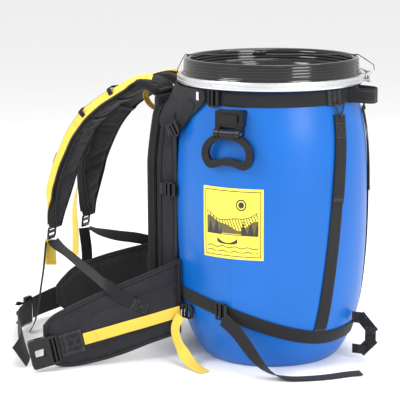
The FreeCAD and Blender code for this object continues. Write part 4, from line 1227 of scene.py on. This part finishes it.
pads = {"shoulder_near": shoulder_pad(-1), "shoulder_far": shoulder_pad(1), "wing_near": near_wing_pad(),
        "wing_far": far_wing_pad(), "back": panel_pad(), "lumbar": lumbar_pad(), "yoke": yoke_pad()}
PAD_NODES = {"shoulder_near": "shoulder_strap_near", "shoulder_far": "shoulder_strap_far",
             "wing_near": "hip_wing_near", "wing_far": "hip_wing_far", "back": "back_panel",
             "lumbar": "lumbar_pad", "yoke": "yoke_pad"}


def inset_seam(distance):
    return lambda s, w, inset: (abs(inset - distance), s)


def long_seam(offset, start=0.0, end=9.0):
    return lambda s, w, inset: (abs(w - offset) if start <= s <= end else 1.0, s)


def cross_seam(place):
    return lambda s, w, inset: (abs(s - place), w)


SEAMS = {
    "shoulder_near": [inset_seam(0.009)],
    "shoulder_far": [inset_seam(0.009)],
    "wing_near": [inset_seam(0.008), long_seam(0.036, 0.0, 0.20), long_seam(-0.036, 0.0, 0.20)],
    "wing_far": [inset_seam(0.008), long_seam(0.036, 0.0, 0.28), long_seam(-0.036, 0.0, 0.28)],
    "back": [inset_seam(0.011), long_seam(0.042), long_seam(-0.042), cross_seam(0.16), cross_seam(0.31)],
    "lumbar": [inset_seam(0.009), long_seam(0.0)],
    "yoke": [],
}


def upholster():
    meshes = stuffed(pads)
    threads = []
    for name, pad in pads.items():
        mesh = sewn_mesh(pad, meshes[name], SEAMS[name], puckers=0.25)
        piece = add_piece(name + "_cushion", mesh, CLOTH, smooth_angle=80.0)
        mesh.materials.append(SPACER)
        wearer = {"shoulder_near": -1, "shoulder_far": -1, "wing_near": -1, "wing_far": 1, "back": 1,
                  "lumbar": 1, "yoke": 0}[name]
        lay = mesh.attributes["lay"].data
        for face in mesh.polygons:
            heights = [lay[v].vector[2] for v in face.vertices]
            if wearer and min(h * wearer for h in heights) > pad.rim * 0.9:
                face.material_index = 1
        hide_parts(PAD_NODES[name])
        if name != "yoke":
            threads += bound_edge(name + "_binding", pad, BINDING)
    sew("binding_stitching", threads, BLACK_THREAD)


upholster()


def panel_side():
    """The dark firm core between the back's cushion and the frame board, hollowed to the barrel."""
    count, steps = 48, 24
    front, rear, hollow = 0.2040, 0.1655, 0.2100
    points, lay = [], []
    for i in range(count):
        z = 0.068 + (0.524 - 0.068) * i / (count - 1)
        half = panel_half(z, 0.128)
        ends = min(z - 0.068, 0.524 - z)
        half -= 0.010 * (1 - min(1.0, ends / 0.012)) ** 2
        across = [-half + 2 * half * k / steps for k in range(steps + 1)]
        ring = [(-front, y) for y in across]
        for y in reversed(across):
            ring.append((-max(hollow * math.cos(math.asin(min(1.0, abs(y) / hollow))), rear), y))
        for x, y in ring:
            points.append(Vector((x, y, z)))
            lay.append((z, y, x))
    faces = tube_faces(count, 2 * (steps + 1))
    mesh = face_outward(build_mesh("panel_core", points, faces, lay))
    piece = add_piece("panel_core", mesh, CLOTH, smooth_angle=50.0)
    for tag, sign in SIDES:
        line, across = [], Vector((1, 0, 0))
        for i in range(40):
            z = 0.075 + (0.515 - 0.075) * i / 39
            line.append(Vector((-0.1975, sign * panel_half(z, 0.1290), z)))
        tape = Strap(line, across, 0.009, 0.0022)
        tape.piece("panel_piping_" + tag, BINDING, "pad_fabric")


panel_side()


def corner_webs():
    """Cloth that ties each top corner of the back to the upper band, with a taped edge."""
    inner = [(180, 0.2150, 0.573), (174, 0.2240, 0.546), (157, 0.2360, 0.513), (151, 0.2330, 0.486)]
    outer = [(113.5, 0.0066, 0.5745), (112.6, 0.0066, 0.552), (127.5, 0.0040, 0.512), (146, 0.0036, 0.480)]
    for tag, sign in SIDES:
        count, steps = 22, 26
        inside = through([Vector(p) for p in inner], count)
        outside = through([Vector(p) for p in outer], count)
        points, lay = [], []
        for i in range(count):
            reach = wall_radius(outside[i].x * sign, outside[i].z) + outside[i].y
            for k in range(steps):
                t = k / (steps - 1)
                azimuth = outside[i].x + (inside[i].x - outside[i].x) * t
                z = outside[i].z + (inside[i].z - outside[i].z) * t
                radius = reach + (inside[i].y - reach) * t ** 1.8
                radius = max(radius, wall_radius(azimuth * sign, z) + 0.0036)
                radius += 0.0012 * math.sin(t * math.pi) * math.sin(i * 0.9 + t * 5.0)
                points.append(turned(azimuth * sign) * radius + UP * z)
                lay.append((z, azimuth * 0.0035, 0.0))
        mesh = build_mesh("corner_web_" + tag, points, grid_faces(count, steps), lay)
        face_outward(mesh, thickness=0.0022)
        add_piece("corner_web_" + tag, mesh, CLOTH, smooth_angle=60.0)
        edge = [points[i * steps] for i in range(1, count)]
        outward = [turned(p.x * sign) for p in outside[1:]]
        across = [out.cross(edge[min(i + 1, len(edge) - 1)] - edge[max(i - 1, 0)]).normalized()
                  for i, out in enumerate(outward)]
        tape = Strap(edge, across, 0.008, 0.0042)
        tape.piece("corner_web_tape_" + tag, BINDING, "pad_fabric")


corner_webs()


# ---- webbing on the harness --------------------------------------------------------------
def shoulder_webbing():
    """Load-lifter webbing on its tape: over the near strap's outer corner, on the far strap's face."""
    black, yellow, flat = [], [], 0.0142
    for side, sign in SIDES:
        line = strap_line(WEBBING_STEPS + 1, sign)
        offset, height, roll = (-0.0410, 0.0072, math.radians(58)) if sign < 0 else (-0.012, flat, 0.0)
        middle, sides, faces = [], [], []
        for i, p in enumerate(line):
            across, out = strap_sides(line, i, sign)
            ends = min(1.0, min(i, WEBBING_STEPS - i) / 26)
            tilt = roll * ends * (0.45 + 0.55 * min(1.0, i / 70))
            narrowing = 1 - 0.35 * max(0.0, i / WEBBING_STEPS - 0.8) / 0.2
            rise = flat + (height - flat) * ends ** 5 + 0.0004 * math.sin(i * 0.31)
            middle.append(p + across * (offset * ends * narrowing) + out * rise)
            sides.append(across * math.cos(tilt) + out * math.sin(tilt))
            faces.append(out * math.cos(tilt) - across * math.sin(tilt))
        lifter = Strap(middle[10:156], sides[10:156], NARROW)
        lifter.piece("load_lifter_webbing_" + side, *YELLOW, ["load_lifter_" + side])
        up = 1 if lifter.frames[60][3].dot(faces[80]) > 0 else -1
        for s in (0.012, lifter.length * 0.46, lifter.length - 0.010):
            yellow += bar_tack(lifter, s, THREAD_LIFT, 5, sign=up)
        under = [p - face * 0.0020 for p, face in zip(middle, faces)]
        base = Strap(under[8:157], sides[8:157], 0.033, 0.0014)
        base.piece("strap_face_tape_" + side, *BLACK)
        lift = THREAD_LIFT if up > 0 else -0.0016
        black += strap_rows(base, (-0.0145, 0.0145), 0.004, base.length - 0.004, lift)
        keepers(side, sign, line)
    sew("shoulder_stitching", black, BLACK_THREAD)
    sew("lifter_stitching", yellow, YELLOW_THREAD)


def keepers(side, sign, line):
    """Elastic loops round the strap and its webbing, at the CAD keepers' places."""
    bulge = 0.0075 if sign < 0 else 0.003
    for number, place in enumerate((9, 16)):
        i = round(place * WEBBING_STEPS / KEEPER_STEPS)
        across, out = strap_sides(line, i, sign)
        along = (line[i + 1] - line[i - 1]).normalized()
        loop = []
        for k in range(49):
            a = math.tau * k / 48
            c, d = math.cos(a), math.sin(a)
            v = math.copysign(abs(c) ** 0.55, c) * 0.0425
            h = math.copysign(abs(d) ** 0.7, d) * 0.0148
            corner = max(0.0, -math.cos(a + math.radians(52 if sign < 0 else 90)))
            v -= bulge * corner ** 2 if sign < 0 else 0.0
            h += bulge * (corner ** 2 if sign < 0 else max(0.0, d))
            loop.append(line[i] + across * v + out * h)
        band = Strap(loop, along, 0.011, 0.0014)
        band.piece("keeper_%s_%d" % (side, number), ELASTIC, "black_webbing",
                   ["strap_keepers"] if side == "near" and number == 0 else [])


def belt_z(u):
    return 56.0 - 0.208 * (u - 218.0)


def hip_webbing():
    rows = []
    near = Strap([wing_point(u, belt_z(u), WING_FACE) for u in range(204, 263, 4)], UP, BELT)
    near.piece("hip_webbing_near_strap", *BLACK, ["hip_webbing_near"])
    outward = 1 if near.frames[2][3].dot(WING_OUT) > 0 else -1
    for v in (-0.021, -0.0185, -0.007, 0.007, 0.0185, 0.021):
        rows += strap_rows(near, (v,), 0.003, near.length - 0.006, THREAD_LIFT if outward > 0 else -0.0022)
    rows += box_tack(near, 0.004, 0.034, THREAD_LIFT, outward)
    for s in (0.004, 0.0385, 0.046):
        rows += bar_tack(near, s, THREAD_LIFT, sign=outward)
    far_line = through([mm(*p) for p in
                        [(-486, 52.5, 70), (-515, 39, 60), (-545, 24, 48), (-567, 6, 38), (-577, -17, 33.5),
                         (-578, -42, 32.5)]], 41)
    far = Strap(far_line, UP, BELT)
    far.piece("hip_webbing_far_strap", *BLACK, ["hip_webbing_far"])
    for sign in (1, -1):
        rows += box_tack(far, 0.004, 0.030, THREAD_LIFT, sign)
        rows += bar_tack(far, far.length - 0.006, THREAD_LIFT, sign=sign)
    sew("hip_stitching", rows, BLACK_THREAD)


def stabilisers():
    rows = []
    lifts = (203, 0.0), (150, 0.0008), (110, 0.0002), (70, 0.001), (30, 0.0002), (-4, 0.0)
    near = Strap(through([wing_point(u, belt_z(u), WING_FACE + lift) for u, lift in lifts], 61), UP, NARROW)
    near.piece("stabiliser_webbing_near", *YELLOW, ["stabiliser_near"])
    outward = 1 if near.frames[2][3].dot(WING_OUT) > 0 else -1
    rows += box_tack(near, 0.004, 0.024, THREAD_LIFT, outward)
    rows += bar_tack(near, 0.028, THREAD_LIFT, sign=outward)
    far_points = [mm(*p) for p in
                  [(-440, 72.5, 66), (-400, 90, 72), (-340, 119, 84), (-280, 146, 96), (-215, 164, 104),
                   (-166, 163, 106), (-138, 161, 107)]]
    far = Strap(through(far_points, 61), UP, NARROW)
    far.piece("stabiliser_webbing_far", *YELLOW, ["stabiliser_far"])
    for sign in (1, -1):
        rows += box_tack(far, 0.004, 0.024, THREAD_LIFT, sign)
    sew("stabiliser_stitching", rows, YELLOW_THREAD)


def lower_strap_webbing():
    rows = []
    near_points = [mm(*p) for p in
                   [(-497, -75, 205), (-484, -88, 203), (-440, -122, 197), (-380, -165, 187),
                    (-330, -202, 180), (-290, -233, 175), (-266, -252, 172), (-249, -257, 168)]]
    near_points += [wing_point(u, z, WING_FACE) for u, z in ((128, 146), (95, 128), (66, 112))]
    sides = [Vector((0.2, 0.95, 0.1)), Vector((0.2, 0.6, 0.8))] + [UP] * 9
    near = Strap(through(near_points, 81), sides, NARROW)
    near.piece("strap_webbing_near_run", *BLACK, ["strap_webbing_near"])
    for sign in (1, -1):
        rows += box_tack(near, near.length - 0.028, near.length - 0.004, THREAD_LIFT, sign)
        rows += bar_tack(near, near.length - 0.034, THREAD_LIFT, sign=sign)
    far_points = [mm(*p) for p in
                  [(-494.5, 75, 205), (-484, 77, 202), (-461, 80, 196), (-425, 88, 190), (-390, 98, 187),
                   (-365, 106, 183), (-345, 116, 177)]]
    sides = [ACROSS_BACK, ACROSS_BACK, Vector((0.2, 0.9, 0.4)), Vector((0.2, 0.6, 0.8)),
             Vector((0.2, 0.4, 0.9)), UP, UP]
    far = Strap(through(far_points, 61), sides, NARROW)
    far.piece("strap_webbing_far_run", *BLACK, ["strap_webbing_far"])
    sew("lower_strap_stitching", rows, BLACK_THREAD)


def lifter_tab():
    lock = strap_line(40, -1)[-1] + mm(-9, -1, -14)
    down = [lock + mm(*p) for p in ((-4, 0, -17.5), (-5, -1, -36), (-4, -1, -54), (-4, 0, -76))]
    tab = Strap(through(down, 21), Vector((0.91, 0.41, 0)), NARROW)
    tab.piece("lifter_tail_webbing_near", *YELLOW, ["lifter_tail_near"])
    rows = []
    for sign in (1, -1):
        rows += bar_tack(tab, tab.length - 0.006, THREAD_LIFT, 4, sign=sign)
        rows += bar_tack(tab, tab.length - 0.018, THREAD_LIFT, 2, sign=sign)
    sew("lifter_tab_stitching", rows, YELLOW_THREAD)


def white_glint_tag():
    """A small plain woven tag that stands flat in front of the upper band. Its white is partly the tag's own
    colour and partly a painted highlight, standing in for a glint on the band's hardware.
    """
    line = [on_wall(a, 0.5615, 0.0098) for a in (-118.4, -117.8, -117.2, -116.6, -116.0)]
    tag = Strap(line, UP, 0.017, 0.0008)
    tag.piece("white_glint_tag", WHITE_GLINT_TAPE, "black_webbing")


shoulder_webbing()
hip_webbing()
stabilisers()
lower_strap_webbing()
lifter_tab()
white_glint_tag()


# ---- studio ------------------------------------------------------------------------------
def floor_and_sky():
    size = 14.0
    corners = [(-size, -size, 0), (size, -size, 0), (size, size, 0), (-size, size, 0)]
    mesh = build_mesh("studio_floor", corners, [(0, 1, 2, 3)])
    floor = bpy.data.objects.new("studio_floor", mesh)
    bpy.context.scene.collection.objects.link(floor)
    f = Finish("studio_paper")
    speck = f.grain(f.place(), 3.0)
    f.feed("Base Color", f.mix(speck, (0.90, 0.90, 0.90, 1), (0.93, 0.93, 0.93, 1)))
    f.feed("Roughness", f.span(speck, 0.0, 1.0, 0.85, 0.95))
    mesh.materials.append(f.material)
    world = bpy.data.worlds.new("studio_sky")
    world.use_nodes = True
    sky = world.node_tree.nodes["Background"]
    sky.inputs["Color"].default_value = (1.0, 1.0, 1.0, 1.0)
    sky.inputs["Strength"].default_value = 0.93
    bpy.context.scene.world = world


def soft_light(name, place, aim, size, power, tall=None):
    data = bpy.data.lights.new(name, "AREA")
    data.shape = "RECTANGLE"
    data.size = size
    data.size_y = tall or size
    data.energy = power
    light = bpy.data.objects.new(name, data)
    bpy.context.scene.collection.objects.link(light)
    light.location = place
    light.rotation_euler = (Vector(aim) - Vector(place)).to_track_quat("-Z", "Y").to_euler()


floor_and_sky()
soft_light("key_softbox", (-1.6, -2.3, 2.2), (0, 0, 0.3), size=1.3, power=54)
soft_light("side_softbox", (2.3, -1.2, 1.6), (0, 0, 0.35), size=1.1, power=42, tall=1.6)
soft_light("top_softbox", (0.2, 0.4, 2.6), (0, 0, 0.5), size=1.6, power=35)
bpy.context.scene.view_settings.view_transform = "Standard"
